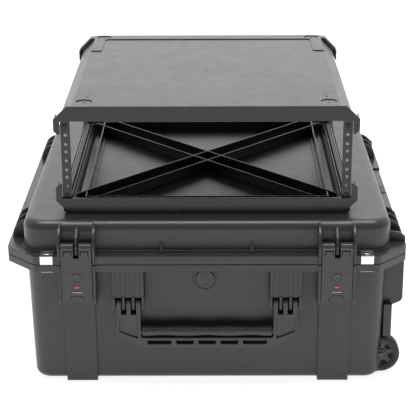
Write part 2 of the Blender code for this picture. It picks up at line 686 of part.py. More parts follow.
def latch(side, label, lid):
    """Draw latch with its lock, indicator and trigger."""
    x = side * LATCH_X
    body = pivot("latch_" + label + "_axis", x, -LATCH_PIN_Y, LATCH_PIN_Z)
    body.parent = lid
    body.matrix_parent_inverse = lid.matrix_basis.inverted()
    back, front = -LATCH_BACK_Y, -FACE_Y
    profile = [(front, LATCH_TOP_Z - 6), (front + 4, LATCH_TOP_Z), (-LATCH_TOP_Y, LATCH_TOP_Z),
               (3.5 - LATCH_TOP_Y, LATCH_PIN_Z + 5), (3.5 - LATCH_TOP_Y, LATCH_PIN_Z - 4),
               (-LATCH_TOP_Y, LATCH_PIN_Z - 8), (back, FLANGE_TOP_Z + 1.5), (back, HOOK_Z[2]),
               (-HOOK_Y, HOOK_Z[2]), (-HOOK_Y, HOOK_Z[1]), (back, HOOK_Z[0]),
               (back, LATCH_BOTTOM_Z + 1), (back - 2, LATCH_BOTTOM_Z),
               (front + 2, LATCH_BOTTOM_Z), (front, LATCH_BOTTOM_Z + 2)]
    cover = plate([profile], x - LATCH_HALF, x + LATCH_HALF, "X")
    wide, narrow = (half + 0.6 for half in TRIGGER_HALF)
    recess = [(-wide - 0.8, 150), (wide + 0.8, 150), (wide, 155), (narrow, 167),
              (-narrow, 167), (-wide, 155)]
    shapes = [box((x - LATCH_SLOT_HALF, -345, 232), (x + LATCH_SLOT_HALF, -310, 265)),
              rod((x, -345, LOCK_Z), (x, -LOCK_BACK_Y, LOCK_Z), LOCK_R + 0.4, 16),
              rod((x, -345, INDICATOR_Z), (x, -334.2, INDICATOR_Z), INDICATOR_R + 0.4),
              plate([shifted(recess, x, 0)], -345, -320, "Y")]
    pin_half, trigger_half = LATCH_HALF + 5, TRIGGER_HALF[0] + 2
    holes = [rod((x - pin_half, -LATCH_PIN_Y, LATCH_PIN_Z), (x + pin_half, -LATCH_PIN_Y, LATCH_PIN_Z),
                 PIN_HOLE_R),
             rod((x - trigger_half, -TRIGGER_Y, TRIGGER_Z), (x + trigger_half, -TRIGGER_Y, TRIGGER_Z),
                 TRIGGER_PIN_R + 0.4, 8)]
    cut(cover, merged(shapes), merged(holes))
    finish(cover, "latch_" + label, "latch", body)

    lock_axis = pivot("lock_" + label + "_axis", x, front, LOCK_Z)
    lock_axis.parent = body
    lock_axis.matrix_parent_inverse = body.matrix_basis.inverted()
    plug = rod((x, -FACE_Y - 0.2, LOCK_Z), (x, -LOCK_BACK_Y - 0.4, LOCK_Z), LOCK_R, 16)
    cut(plug, box((x - 0.8, -345, LOCK_Z - 3.2), (x + 0.8, -335, LOCK_Z + 3.2)))
    finish(plug, "lock_plug_" + label, "dark_steel", lock_axis)

    dot = rod((x, -FACE_Y, INDICATOR_Z), (x, -334.6, INDICATOR_Z), INDICATOR_R)
    finish(dot, "lock_indicator_" + label, "indicator", body)

    trigger_axis = pivot("trigger_" + label + "_axis", x, -TRIGGER_Y, TRIGGER_Z)
    trigger_axis.parent = body
    trigger_axis.matrix_parent_inverse = body.matrix_basis.inverted()
    (wide, narrow), (low, high) = TRIGGER_HALF, TRIGGER_SPAN_Z
    tab = [(-wide, low), (wide, low), (narrow, high), (-narrow, high)]
    button = plate([shifted(tab, x, 0)], -334.6, -TRIGGER_BACK_Y, "Y")
    cut(button, rod((x - 20, -TRIGGER_Y, TRIGGER_Z), (x + 20, -TRIGGER_Y, TRIGGER_Z),
                    TRIGGER_PIN_R + 0.4, 8))
    finish(button, "trigger_" + label, "latch", trigger_axis)
    pin = rod((x - wide - 0.3, -TRIGGER_Y, TRIGGER_Z), (x + wide + 0.3, -TRIGGER_Y, TRIGGER_Z),
              TRIGGER_PIN_R, 8)
    finish(pin, "trigger_pin_" + label, "dark_steel", body)

    hinge = rod((x - 30.5, -LATCH_PIN_Y, LATCH_PIN_Z), (x + 30.5, -LATCH_PIN_Y, LATCH_PIN_Z), PIN_R)
    finish(hinge, "latch_pin_" + label, "dark_steel", lid)


def padlock_plates(side, label, lid):
    """Steel plates that reinforce the padlock holes, one on each flange."""
    x = side * PADLOCK_X
    front = -FLANGE_HALF_Y - GAP
    for name, top, low, parent in (("lid", FLANGE_TOP_Z + GAP, LID_FLANGE_BOTTOM_Z + 0.4, lid),
                                   ("base", FLANGE_BOTTOM_Z - GAP, BASE_FLANGE_TOP_Z - 0.4, None)):
        out = PLATE_T if top > low else -PLATE_T
        profile = [(-PADLOCK_BACK_Y, top), (front, top), (front, low), (front - PLATE_T, low),
                   (front - PLATE_T, top + out), (-PADLOCK_BACK_Y, top + out)]
        clip = plate([profile], x - PADLOCK_HALF, x + PADLOCK_HALF, "X")
        cut(clip, padlock_hole(x))
        finish(clip, "padlock_plate_" + name + "_" + label, "steel", parent)


def padlock_hole(x):
    return rod((x, -PADLOCK_HOLE_Y, 200), (x, -PADLOCK_HOLE_Y, 245), 3.8)


def hinge_pin(side, label):
    x = side * LATCH_X
    pin = rod((x - HINGE_HALF, HINGE_Y, SEAM_Z), (x + HINGE_HALF, HINGE_Y, SEAM_Z), PIN_R)
    finish(pin, "hinge_pin_" + label, "dark_steel")


def carry_handle(name, spec):
    """Fold-up carry handle: a frame with knuckles, and a soft grip sleeve round its bar."""
    low_x, high_x = spec["mount_x"]
    r, pin_y, pin_z = spec["radius"], spec["pin_y"], spec["pin_z"]
    spans = knuckle_spans(spec)
    outer_x, inner_x = spans[-1][1], spans[0][0]
    front, back = -pin_y - r, -pin_y + r
    grip_z, grip_r = spec["grip_z"], spec["grip_r"]
    shoulder, bottom = spec["shoulder_z"], spec["bottom_z"]
    rail_top = grip_z - grip_r - 0.5
    outline = [(-outer_x, shoulder), (-outer_x, spec["corner_z"]), (-spec["corner_x"], bottom),
               (spec["corner_x"], bottom), (outer_x, spec["corner_z"]), (outer_x, shoulder),
               (inner_x, shoulder), (inner_x, rail_top), (-inner_x, rail_top), (-inner_x, shoulder)]
    frame = plate([outline], front, back, "Y")
    bar = rod((-inner_x - 4, -pin_y, grip_z), (inner_x + 4, -pin_y, grip_z), grip_r - BAR_INSET)
    knuckles = []
    for side in (-1, 1):
        for start, end in spans:
            profile = [(back, shoulder - 3), (back, pin_z)]
            profile += arc((-pin_y, pin_z), r, 0, 180, 6)[1:-1]
            profile += [(front, pin_z), (front, shoulder - 3)]
            low, high = sorted((side * start, side * end))
            knuckles.append(plate([profile], low, high, "X"))
    joined(frame, bar, merged(knuckles))
    windows = []
    width = 2 * spec["corner_x"] / HANDLE_WINDOWS
    half = (width - WINDOW_RIB) / 2
    for i in range(HANDLE_WINDOWS):
        middle = (i - HANDLE_WINDOWS // 2) * width
        windows.append(box((middle - half, front - 5, bottom + 6.5),
                           (middle + half, back + 5, rail_top - 4)))
    bores = [rod((s * (low_x - 5), -pin_y, pin_z), (s * (high_x + 5), -pin_y, pin_z), PIN_HOLE_R)
             for s in (-1, 1)]
    cut(frame, merged(windows), merged(bores))
    sleeve = rod((-spec["grip_half"], -pin_y, grip_z), (spec["grip_half"], -pin_y, grip_z), grip_r, 16)
    cut(sleeve, rod((-200, -pin_y, grip_z), (200, -pin_y, grip_z), grip_r - SLEEVE_WALL))
    turn = spec["turn"]
    place = Matrix.Rotation(turn, 4, "Z") @ Vector((0, -pin_y, pin_z))
    axis = pivot(name + "_handle_axis", *place)
    finish(turned_modified(frame, turn), name + "_handle_frame", "latch", axis)
    finish(turned_modified(sleeve, turn), name + "_handle_grip", "rubber", axis)
    for side, label in ((-1, "a"), (1, "b")):
        pin = rod((side * (low_x + 0.5), -pin_y, pin_z), (side * (high_x - 0.5), -pin_y, pin_z), PIN_R)
        finish(turned(pin, turn), name + "_handle_pin_" + label, "dark_steel")


# ------------------------------------------------------------------ wheels and tow handle

def wheel_set(side, label):
    """Wheel on a stub axle in a housing set in a corner of the base."""
    inner, outer = WHEEL_Y
    lo, hi = POCKET_Y[0] + GAP, POCKET_Y[0] + HOUSING_DEPTH
    housing = box((POCKET_X + GAP, side * lo, HOUSING_BOTTOM_Z),
                  (HOUSING_OUTER_X, side * hi, POCKET_TOP_Z - GAP))
    joined(housing, box((302.0, side * lo, POCKET_TOP_Z - 4),
                        (HOUSING_OUTER_X, side * HOUSING_UPRIGHT_Y, HOUSING_TOP_Z)))
    cut(housing, rod((WHEEL_X, side * 200, WHEEL_Z), (WHEEL_X, side * 290, WHEEL_Z), AXLE_R + GAP))
    cut(housing, housing_relief(side, hi))
    finish(housing, "wheel_housing_" + label, "shell")

    axle = rod((WHEEL_X, side * 218, WHEEL_Z), (WHEEL_X, side * (outer + 0.2), WHEEL_Z), AXLE_R)
    joined(axle, rod((WHEEL_X, side * outer, WHEEL_Z), (WHEEL_X, side * (outer + BOLT_HEAD), WHEEL_Z),
                     BOLT_R))
    finish(axle, "wheel_axle_" + label, "steel")

    axis = pivot("wheel_" + label + "_axis", WHEEL_X, side * (inner + outer) / 2, WHEEL_Z)
    hub = rod((WHEEL_X, side * (inner + 1), WHEEL_Z), (WHEEL_X, side * (outer - 1), WHEEL_Z),
              TYRE_INNER_R - GAP, 30)
    holes = [rod((WHEEL_X, side * 240, WHEEL_Z), (WHEEL_X, side * 290, WHEEL_Z), AXLE_R + GAP)]
    for i in range(HUB_HOLES):
        angle = 2 * math.pi * i / HUB_HOLES
        x, z = WHEEL_X + HUB_HOLE_RING * math.cos(angle), WHEEL_Z + HUB_HOLE_RING * math.sin(angle)
        holes.append(rod((x, side * 240, z), (x, side * 290, z), HUB_HOLE_R, 8))
    cut(hub, merged(holes))
    finish(hub, "wheel_hub_" + label, "latch", axis)
    tyre = rod((WHEEL_X, side * inner, WHEEL_Z), (WHEEL_X, side * outer, WHEEL_Z), WHEEL_R, 30)
    cut(tyre, rod((WHEEL_X, side * 240, WHEEL_Z), (WHEEL_X, side * 290, WHEEL_Z), TYRE_INNER_R, 30))
    finish(tyre, "wheel_tyre_" + label, "tyre", axis)


def housing_relief(side, start):
    """Room in the housing for the wheel's upper part."""
    return rod((WHEEL_X, side * (start + 0.01), WHEEL_Z), (WHEEL_X, side * 290, WHEEL_Z),
               WHEEL_R + 2.5, 30)


def tow_handle():
    """Two-stage telescopic handle in a chassis screwed to the wheel end."""
    back, face, outer = CHASSIS_X
    chassis = box((back, -TOW_HALF_Y, CHASSIS_Z[0]), (face, TOW_HALF_Y, CHASSIS_Z[3]))
    for low, high in (CHASSIS_Z[:2], CHASSIS_Z[2:]):
        joined(chassis, box((back + 2, -TOW_HALF_Y, low + 0.2), (outer, TOW_HALF_Y, high - 0.2)))
    bores = [rod((TOW_X, s * TOW_Y, 41.5), (TOW_X, s * TOW_Y, 215), SLEEVE_R[0] + 0.35)
             for s in (-1, 1)]
    for y in SCREW_Y:
        for z in SCREW_Z:
            bores.append(rod((295, y, z), (320, y, z), SCREW_R + GAP))
    cut(chassis, merged(bores))
    finish(chassis, "tow_chassis", "shell")

    for y, row in zip(SCREW_Y, ("front", "rear")):
        for z, level in zip(SCREW_Z, ("lower", "upper")):
            screw = rod((300.5, y, z), (face + 0.6, y, z), SCREW_R)
            joined(screw, rod((face + 0.3, y, z), (face + 3.0, y, z), SCREW_HEAD_R))
            finish(screw, "tow_screw_" + row + "_" + level, "steel")

    stage = pivot("tow_stage_axis", TOW_X, 0, STAGE_Z[0])
    grip = pivot("tow_grip_axis", TOW_X, 0, TOW_GRIP_Z[0])
    grip.parent = stage
    grip.matrix_parent_inverse = stage.matrix_basis.inverted()
    for side, label in ((-1, "front"), (1, "rear")):
        y = side * TOW_Y
        for name, radii, span, parent in (("tow_sleeve_", SLEEVE_R, SLEEVE_Z, None),
                                          ("tow_stage_tube_", STAGE_R, STAGE_Z, stage)):
            tube = rod((TOW_X, y, span[0]), (TOW_X, y, span[1]), radii[0])
            cut(tube, rod((TOW_X, y, span[0] - 5), (TOW_X, y, span[1] + 5), radii[1]))
            finish(tube, name + label, "steel", parent)
        inner = rod((TOW_X, y, TOW_ROD_Z[0]), (TOW_X, y, TOW_ROD_Z[1] + 6), TOW_ROD_R)
        finish(inner, "tow_rod_" + label, "steel", grip)
    bar = plate([rounded_rectangle(TOW_GRIP_HALF, TOW_HALF_Y, 8.0)], *TOW_GRIP_Z)
    bar.data.transform(Matrix.Translation((TOW_X * MM, 0, 0)))
    half_x, half_y = TOW_BUTTON_HALF
    pockets = [box((TOW_X - half_x - 0.5, -half_y - 0.6, TOW_BUTTON_Z[0] - 4),
                   (TOW_X + half_x + 0.5, half_y + 0.6, TOW_BUTTON_Z[1] + 4))]
    pockets += [rod((TOW_X, s * TOW_Y, 205), (TOW_X, s * TOW_Y, TOW_ROD_Z[1] + 6.4), TOW_ROD_R + GAP)
                for s in (-1, 1)]
    cut(bar, merged(pockets))
    finish(bar, "tow_grip", "latch", grip)
    button_axis = pivot("tow_button_axis", TOW_X, 0, 229)
    button_axis.parent = grip
    button_axis.matrix_parent_inverse = grip.matrix_basis.inverted()
    button = box((TOW_X - half_x, -half_y, TOW_BUTTON_Z[0]), (TOW_X + half_x, half_y, TOW_BUTTON_Z[1]))
    finish(button, "tow_button", "rubber", button_axis)


# ------------------------------------------------------------------ rack cage

def tray_section(half, chamfer, low, high):
    """Lower tray's outline across the cage, with its heights measured from the tray's foot."""
    return [(-half, chamfer), (-half + chamfer, low), (half - chamfer, low), (half, chamfer),
            (half, high), (-half, high)]


def hollow_section(half, chamfer, high):
    """Line that runs a wall's thickness inside the tray's outline and out at its open side."""
    inner, flat = half - TRAY_WALL, half - chamfer - 1.5
    return [(-inner, chamfer + 1.5), (-flat, TRAY_WALL - 0.5), (flat, TRAY_WALL - 0.5),
            (inner, chamfer + 1.5), (inner, high + 5), (-inner, high + 5)]


def raised(loop):
    """Section of the lower tray put at its height."""
    return shifted(loop, 0, CAGE_Z)


def inverted(loop):
    """Section of the lower tray turned upside down for the upper one."""
    return [(u, CAGE_Z + CAGE_HEIGHT - v) for u, v in loop]


def tray(place, height, rear_depth):
    """Hollow tray between two wider end frames."""
    half = CAGE_HALF - TRAY_INSET
    section = place(tray_section(half, TRAY_CHAMFER, TRAY_STEP, height - TRAY_STEP))
    body = plate([section], CAGE_FRONT + 1, CAGE_BACK - 1, "Y")
    frame = place(tray_section(CAGE_HALF, CAGE_CHAMFER, 0, height))
    joined(body, plate([frame], CAGE_FRONT, CAGE_FRONT + BEZEL, "Y"),
           plate([frame], CAGE_BACK - rear_depth, CAGE_BACK, "Y"))
    hollow = place(hollow_section(half, TRAY_CHAMFER, height))
    cut(body, plate([hollow], CAGE_FRONT + BEZEL - 0.5, CAGE_BACK - BEZEL + 0.5, "Y"))
    return body


def ears(place, high):
    """Upright corner pieces of a tray, beside the rails."""
    parts = []
    outer, low = CAGE_HALF - 0.2, CAGE_CHAMFER + 0.2
    outline = [(EAR_X, low), (outer, low), (outer, high - EAR_CHAMFER), (EAR_X + 4, high),
               (EAR_X, high)]
    for side in (-1, 1):
        for y in (CAGE_FRONT + 0.2, CAGE_BACK - EAR_DEPTH - 0.2):
            parts.append(plate([place(mirrored(outline, side))], y, y + EAR_DEPTH, "Y"))
    return merged(parts)


def rail_clearances():
    """Room for the four rails in the trays' walls."""
    depth = RAIL_DEPTH + 2.0
    spaces = []
    for side in (-1, 1):
        for y in (CAGE_FRONT + BEZEL - 1, CAGE_BACK - BEZEL + 1 - depth):
            spaces.append(box((side * (RAIL_X[0] - GAP), y, CAGE_Z + RAIL_Z[0] - GAP),
                              (side * (RAIL_X[1] + GAP), y + depth, CAGE_Z + RAIL_Z[1] + GAP)))
    return merged(spaces)


def cross_arm(sign):
    """One arm of the X in the tray's floor: a strip with a rib along each edge."""
    reach_x, reach_y = CROSS_REACH
    middle_y = (CAGE_FRONT + CAGE_BACK) / 2
    angle = math.atan2(reach_y, sign * reach_x)
    length = 2 * math.hypot(reach_x, reach_y)
    half = CROSS_WIDTH / 2
    low = CAGE_Z + 0.3 + 0.2 * sign
    arm = box((-length / 2, -half, low), (length / 2, half, low + FLOOR - 1))
    ribs = [box((-length / 2 - 1, s * (half - 0.2), low + 0.1),
                (length / 2 + 1, s * (half - RIB), CAGE_Z + RIB_TOP + 0.1 * sign)) for s in (-1, 1)]
    joined(arm, merged(ribs))
    arm = turned_modified(arm, angle)
    arm.data.transform(Matrix.Translation((0, middle_y * MM, 0)))
    return arm


def bottom_tray(parent):
    """Open tray: a chamfered frame with an X of ribbed arms in its floor."""
    body = tray(raised, BEAM, BEZEL)
    start, stop = CAGE_FRONT + WINDOW_END, CAGE_BACK - WINDOW_END
    cut(body, box((-WINDOW_X, start, CAGE_Z - 5), (WINDOW_X, stop, CAGE_Z + 10)))
    outer = WINDOW_X + 6
    inner = outer - RIB
    trim = box((-outer, start - 6, CAGE_Z + 0.4), (outer, stop + 6, CAGE_Z + RIB_TOP - 1))
    cut(trim, box((-inner, start - 6 + RIB, CAGE_Z - 1), (inner, stop + 6 - RIB, CAGE_Z + RIB_TOP + 2)))
    joined(body, trim, cross_arm(1), cross_arm(-1), ears(raised, LOWER_EAR_Z))
    cut(body, rail_clearances())
    return finish(body, "cage_bottom_tray", "tray", parent)


def top_tray(parent):
    """Closed top panel between two end frames, hollow below."""
    body = tray(inverted, TOP_BEAM, REAR_CAP)
    joined(body, ears(inverted, CAGE_HEIGHT - UPPER_EAR_Z))
    cut(body, rail_clearances())
    return finish(body, "cage_top_tray", "tray", parent)


def rack_rail(side, y, depth_sign, name, parent):
    """Angle strip with nine mounting holes in its face."""
    x0, x1 = RAIL_X
    low, high = CAGE_Z + RAIL_Z[0], CAGE_Z + RAIL_Z[1]
    outline = [(x0, y), (x1, y), (x1, y + depth_sign * RAIL_DEPTH),
               (x1 - RAIL_T, y + depth_sign * RAIL_DEPTH), (x1 - RAIL_T, y + depth_sign * RAIL_T),
               (x0, y + depth_sign * RAIL_T)]
    rail = plate([mirrored(outline, side)], low, high)
    holes = []
    for unit in range(RACK_UNITS):
        for height in UNIT_HOLES:
            z = CAGE_Z + FIRST_UNIT_Z + unit * RACK_UNIT + height
            holes.append(rod((side * RAIL_HOLE_X, y - 10, z), (side * RAIL_HOLE_X, y + 10, z),
                             RAIL_HOLE_R, 8))
    cut(rail, merged(holes))
    finish(rail, name, "rail", parent)


def cage():
    """Rack cage: two trays joined by four rails."""
    axis = pivot("cage_axis", 0, 0, CAGE_Z)
    bottom_tray(axis)
    top_tray(axis)
    places = (("front", CAGE_FRONT + BEZEL + GAP, 1), ("rear", CAGE_BACK - BEZEL - GAP, -1))
    for place, y, sign in places:
        for side, label in ((-1, "left"), (1, "right")):
            rack_rail(side, y, sign, "rail_" + place + "_" + label, axis)
    return axis


def main():
    start_scene()
    base_shell()
    lid = pivot("lid_axis", 0, HINGE_Y, SEAM_Z)
    lid_shell(lid)
    gasket(lid)
    foam_liners(lid)
    pressure_valve()
    for side, label in ((-1, "left"), (1, "right")):
        latch(side, label, lid)
        padlock_plates(side, label, lid)
        hinge_pin(side, label)
    for name, spec in HANDLES.items():
        carry_handle(name, spec)
    for side, label in ((-1, "front"), (1, "rear")):
        wheel_set(side, label)
    tow_handle()
    cage_axis = cage()
    cage_axis.parent = lid
    cage_axis.matrix_parent_inverse = lid.matrix_basis.inverted()
    for obj in bpy.data.objects:
        if obj.parent is None:
            obj.location.z += LIFT * MM


main()
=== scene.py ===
"""Looks of the wheeled equipment case and its rack cage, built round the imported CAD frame.

Outlines are in millimetres in the frame's axes: X to the wheel end, Y to the hinges, Z up.
Their heights are measured from a plane LIFT above the feet; object_from raises them by LIFT.
"""

import json
import math

import bmesh
import bpy
from mathutils import Matrix, Vector
from mathutils.geometry import tessellate_polygon


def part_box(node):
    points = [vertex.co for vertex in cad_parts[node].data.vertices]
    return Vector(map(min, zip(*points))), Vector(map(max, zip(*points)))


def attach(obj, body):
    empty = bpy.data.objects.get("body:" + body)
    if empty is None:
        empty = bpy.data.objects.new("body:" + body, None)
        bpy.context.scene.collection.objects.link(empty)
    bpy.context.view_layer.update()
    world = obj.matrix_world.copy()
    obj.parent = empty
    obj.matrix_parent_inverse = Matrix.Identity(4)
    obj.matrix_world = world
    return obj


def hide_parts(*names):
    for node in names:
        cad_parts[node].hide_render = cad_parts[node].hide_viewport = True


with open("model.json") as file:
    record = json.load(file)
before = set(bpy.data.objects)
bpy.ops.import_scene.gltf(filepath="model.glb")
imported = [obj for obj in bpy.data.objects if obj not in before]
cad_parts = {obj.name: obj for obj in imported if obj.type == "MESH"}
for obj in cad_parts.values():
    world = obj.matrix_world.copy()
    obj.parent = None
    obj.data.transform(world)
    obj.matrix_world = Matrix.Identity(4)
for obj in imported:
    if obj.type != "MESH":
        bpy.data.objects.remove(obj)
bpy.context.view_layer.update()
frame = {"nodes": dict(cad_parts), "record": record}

MM = 0.001
LIFT = 7.0
FOOT_Z = -LIFT
SIDES = (-1, 1)
LABELS = {-1: "left", 1: "right"}
ROWS = {-1: "front", 1: "rear"}

# ---- camera: place in metres, angles in degrees ----
CAMERA_AT = (0.0151, -2.4078, 1.1063)
CAMERA_PITCH = 20.52
CAMERA_YAW = -0.35
CAMERA_ROLL = -0.24
LENS = 118.26
SENSOR = 36.0

# ---- foam liners ----
BAY = (255.0, 259.0)
BAY_FLOOR = 30.0
SCOOP_R = 24.0
FOAM_CUT = 20.0
PEAK_CELLS = 60
PEAK_PITCH = 28.8

# ---- light ----
WORLD_FRONT = 0.28        # brightness of the surroundings on the camera's side
WORLD_BACK = 1.0
FLOOR_GLOW = 0.85
BACK_LIGHT = 25.0
TOP_LIGHT = 62.0


def box_mm(node):
    """Lowest and highest corner of a CAD node, as outlines are measured."""
    low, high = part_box(node)
    return low / MM - Vector((0, 0, LIFT)), high / MM - Vector((0, 0, LIFT))


# ---- materials ----

EDGE = 0.3                # rounding of the CAD nodes that stay in view, in millimetres


def principled(name):
    """New material: its node tree and its Principled shader."""
    material = bpy.data.materials.new(name)
    material.use_nodes = True
    return material, material.node_tree, material.node_tree.nodes["Principled BSDF"]


def link(tree, source, target):
    tree.links.new(source, target)


def noise(tree, scale, detail=2.0, rough=0.5, stretch=None):
    """Noise in the object's own metres: scale is in features a metre."""
    coords = tree.nodes.new("ShaderNodeTexCoord")
    texture = tree.nodes.new("ShaderNodeTexNoise")
    texture.inputs["Scale"].default_value = scale
    texture.inputs["Detail"].default_value = detail
    texture.inputs["Roughness"].default_value = rough
    if stretch is None:
        link(tree, coords.outputs["Object"], texture.inputs["Vector"])
    else:
        mapping = tree.nodes.new("ShaderNodeMapping")
        mapping.inputs["Scale"].default_value = stretch
        link(tree, coords.outputs["Object"], mapping.inputs["Vector"])
        link(tree, mapping.outputs["Vector"], texture.inputs["Vector"])
    return texture.outputs["Fac"]


def ranged(tree, value, low, high, from_low=0.3, from_high=0.7):
    """Value mapped to between low and high."""
    node = tree.nodes.new("ShaderNodeMapRange")
    node.inputs["From Min"].default_value = from_low
    node.inputs["From Max"].default_value = from_high
    node.inputs["To Min"].default_value = low
    node.inputs["To Max"].default_value = high
    link(tree, value, node.inputs["Value"])
    return node.outputs["Result"]


def mixed(tree, factor, colour_a, colour_b):
    """Colour between two constants, by a factor."""
    ramp = tree.nodes.new("ShaderNodeValToRGB")
    ramp.color_ramp.elements[0].position = 0.3
    ramp.color_ramp.elements[0].color = (*colour_a, 1.0)
    ramp.color_ramp.elements[1].position = 0.7
    ramp.color_ramp.elements[1].color = (*colour_b, 1.0)
    link(tree, factor, ramp.inputs["Fac"])
    return ramp.outputs["Color"]


def bumped(tree, shader, height, distance, strength=1.0, after=None):
    """Adds a bump to the shader's normal and returns the bump node."""
    bump = tree.nodes.new("ShaderNodeBump")
    bump.inputs["Strength"].default_value = strength
    bump.inputs["Distance"].default_value = distance
    link(tree, height, bump.inputs["Height"])
    if after is not None:
        link(tree, after.outputs["Normal"], bump.inputs["Normal"])
    link(tree, bump.outputs["Normal"], shader.inputs["Normal"])
    return bump


def plastic(name, colour, roughness, grain=900.0, depth=0.0001, spread=0.07, specular=0.5):
    """Moulded plastic: fine spark-eroded grain, faint cloudiness and handling marks."""
    material, tree, shader = principled(name)
    light = [c * (1 + spread) for c in colour]
    dark = [c * (1 - spread) for c in colour]
    clouds = noise(tree, 9.0, 4.0, 0.55)
    link(tree, mixed(tree, clouds, dark, light), shader.inputs["Base Color"])
    rubs = noise(tree, 45.0, 5.0, 0.6)
    link(tree, ranged(tree, rubs, roughness - 0.03, roughness + 0.035), shader.inputs["Roughness"])
    shader.inputs["Specular IOR Level"].default_value = specular
    fine = bumped(tree, shader, noise(tree, grain, 2.0, 0.6), depth, 0.15)
    bumped(tree, shader, noise(tree, 7.0, 1.0, 0.5), 0.0012, 0.035, fine)
    return material


def steel(name, colour, roughness, stretch):
    """Metal with fine brushing along one direction."""
    material, tree, shader = principled(name)
    shader.inputs["Metallic"].default_value = 1.0
    brushing = noise(tree, 320.0, 3.0, 0.6, stretch)
    link(tree, mixed(tree, brushing, [c * 0.88 for c in colour], colour),
         shader.inputs["Base Color"])
    link(tree, ranged(tree, brushing, roughness - 0.06, roughness + 0.08), shader.inputs["Roughness"])
    bumped(tree, shader, brushing, 0.00004, 0.4)
    return material


def foam(name, colour):
    """Open-cell foam: pitted all over."""
    material, tree, shader = principled(name)
    coords = tree.nodes.new("ShaderNodeTexCoord")
    cells = tree.nodes.new("ShaderNodeTexVoronoi")
    cells.inputs["Scale"].default_value = 900.0
    link(tree, coords.outputs["Object"], cells.inputs["Vector"])
    link(tree, mixed(tree, noise(tree, 60.0, 4.0), [c * 0.7 for c in colour], colour),
         shader.inputs["Base Color"])
    link(tree, ranged(tree, cells.outputs["Distance"], 0.88, 1.0, 0.0, 0.8), shader.inputs["Roughness"])
    bumped(tree, shader, cells.outputs["Distance"], 0.0006, 0.8)
    return material


SHELL = plastic("shell_plastic", (0.0325, 0.031, 0.0325), 0.33)
CAGE = plastic("cage_plastic", (0.0165, 0.016, 0.0142), 0.29, depth=0.00005, spread=0.05)
LATCH = plastic("latch_plastic", (0.041, 0.041, 0.042), 0.36, spread=0.05)
RAIL = plastic("rail_paint", (0.026, 0.026, 0.025), 0.36, grain=1600.0, depth=0.00004)
RUBBER = plastic("soft_rubber", (0.036, 0.036, 0.036), 0.40, grain=700.0)
TYRE = plastic("tyre_rubber", (0.026, 0.025, 0.027), 0.62, grain=600.0, spread=0.2)
RED = plastic("indicator_red", (0.66, 0.05, 0.11), 0.30, grain=1500.0, depth=0.00003, spread=0.05)
LABEL = plastic("label_plate", (0.42, 0.42, 0.43), 0.35, grain=1500.0, depth=0.00003, spread=0.04)
STEEL = steel("bright_steel", (0.86, 0.85, 0.83), 0.30, (0.05, 1.0, 1.0))
LOCK_METAL = steel("lock_metal", (0.12, 0.12, 0.12), 0.35, (1.0, 1.0, 1.0))
BLACK_SCREW = steel("black_screw", (0.045, 0.045, 0.045), 0.35, (1.0, 1.0, 1.0))
# Near-black painted into slots, holes and gaps as their shade; it also colours the latch's three dark marks.
SHADE_AND_MARK_BLACK = plastic("painted_shade_and_marks", (0.006, 0.006, 0.006), 0.6, spread=0.2, specular=0.2)
FOAM = foam("foam_liner", (0.055, 0.055, 0.057))

SLOT_MATERIALS = {"moulded_shell": SHELL, "cage_plastic": CAGE, "rail_metal": RAIL,
                  "latch_plastic": LATCH, "soft_rubber": RUBBER, "tyre_rubber": TYRE,
                  "foam": FOAM, "indicator_red": RED, "bright_steel": STEEL,
                  "dark_steel": BLACK_SCREW}


def dress_cad_nodes():
    """Gives every CAD node its slot's material and softens its edges."""
    for part in frame["record"]["subparts"]:
        obj = frame["nodes"][part["node"]]
        obj.data.materials.clear()
        obj.data.materials.append(SLOT_MATERIALS[part["material_slot"]])
        edges = obj.modifiers.new("edges", "BEVEL")
        edges.width = EDGE * MM
        edges.segments = 2
        edges.angle_limit = math.radians(50)


# ---- stage ----

def studio():
    """Pale floor, white surroundings, soft lights and the camera."""
    world = bpy.data.worlds.new("studio")
    bpy.context.scene.world = world
    world.use_nodes = True
    background = world.node_tree.nodes["Background"]
    background.inputs["Color"].default_value = (1.0, 1.0, 1.0, 1.0)
    tree = world.node_tree
    direction = tree.nodes.new("ShaderNodeTexCoord")
    parts = tree.nodes.new("ShaderNodeSeparateXYZ")
    link(tree, direction.outputs["Generated"], parts.inputs["Vector"])
    link(tree, ranged(tree, parts.outputs["Y"], WORLD_FRONT, WORLD_BACK, -0.6, 0.6),
         background.inputs["Strength"])
    bpy.context.scene.view_settings.view_transform = "Standard"

    bpy.ops.mesh.primitive_plane_add(size=14.0)
    floor = bpy.context.object
    floor.name = "floor"
    material, tree, shader = principled("floor_white")
    shader.inputs["Roughness"].default_value = 0.9
    link(tree, mixed(tree, noise(tree, 1.5), (0.48, 0.48, 0.48), (0.50, 0.50, 0.50)),
         shader.inputs["Base Color"])
    shader.inputs["Emission Color"].default_value = (1.0, 1.0, 1.0, 1.0)
    shader.inputs["Emission Strength"].default_value = FLOOR_GLOW
    floor.data.materials.append(material)

    softbox("back_softbox", (0.0, 3.4, 2.3), (0.0, 0.0, 0.3), 5.0, 3.0, BACK_LIGHT)
    softbox("top_softbox", (0.0, -0.15, 3.0), (0.0, -0.1, 0.3), 1.9, 1.3, TOP_LIGHT)
    camera()


def softbox(name, at, towards, width, height, power):
    light = bpy.data.lights.new(name, "AREA")
    light.shape = "RECTANGLE"
    light.size = width
    light.size_y = height
    light.energy = power
    lamp = bpy.data.objects.new(name, light)
    lamp.location = at
    lamp.rotation_euler = (Vector(towards) - Vector(at)).to_track_quat("-Z", "Y").to_euler()
    lamp.visible_camera = False
    bpy.context.scene.collection.objects.link(lamp)


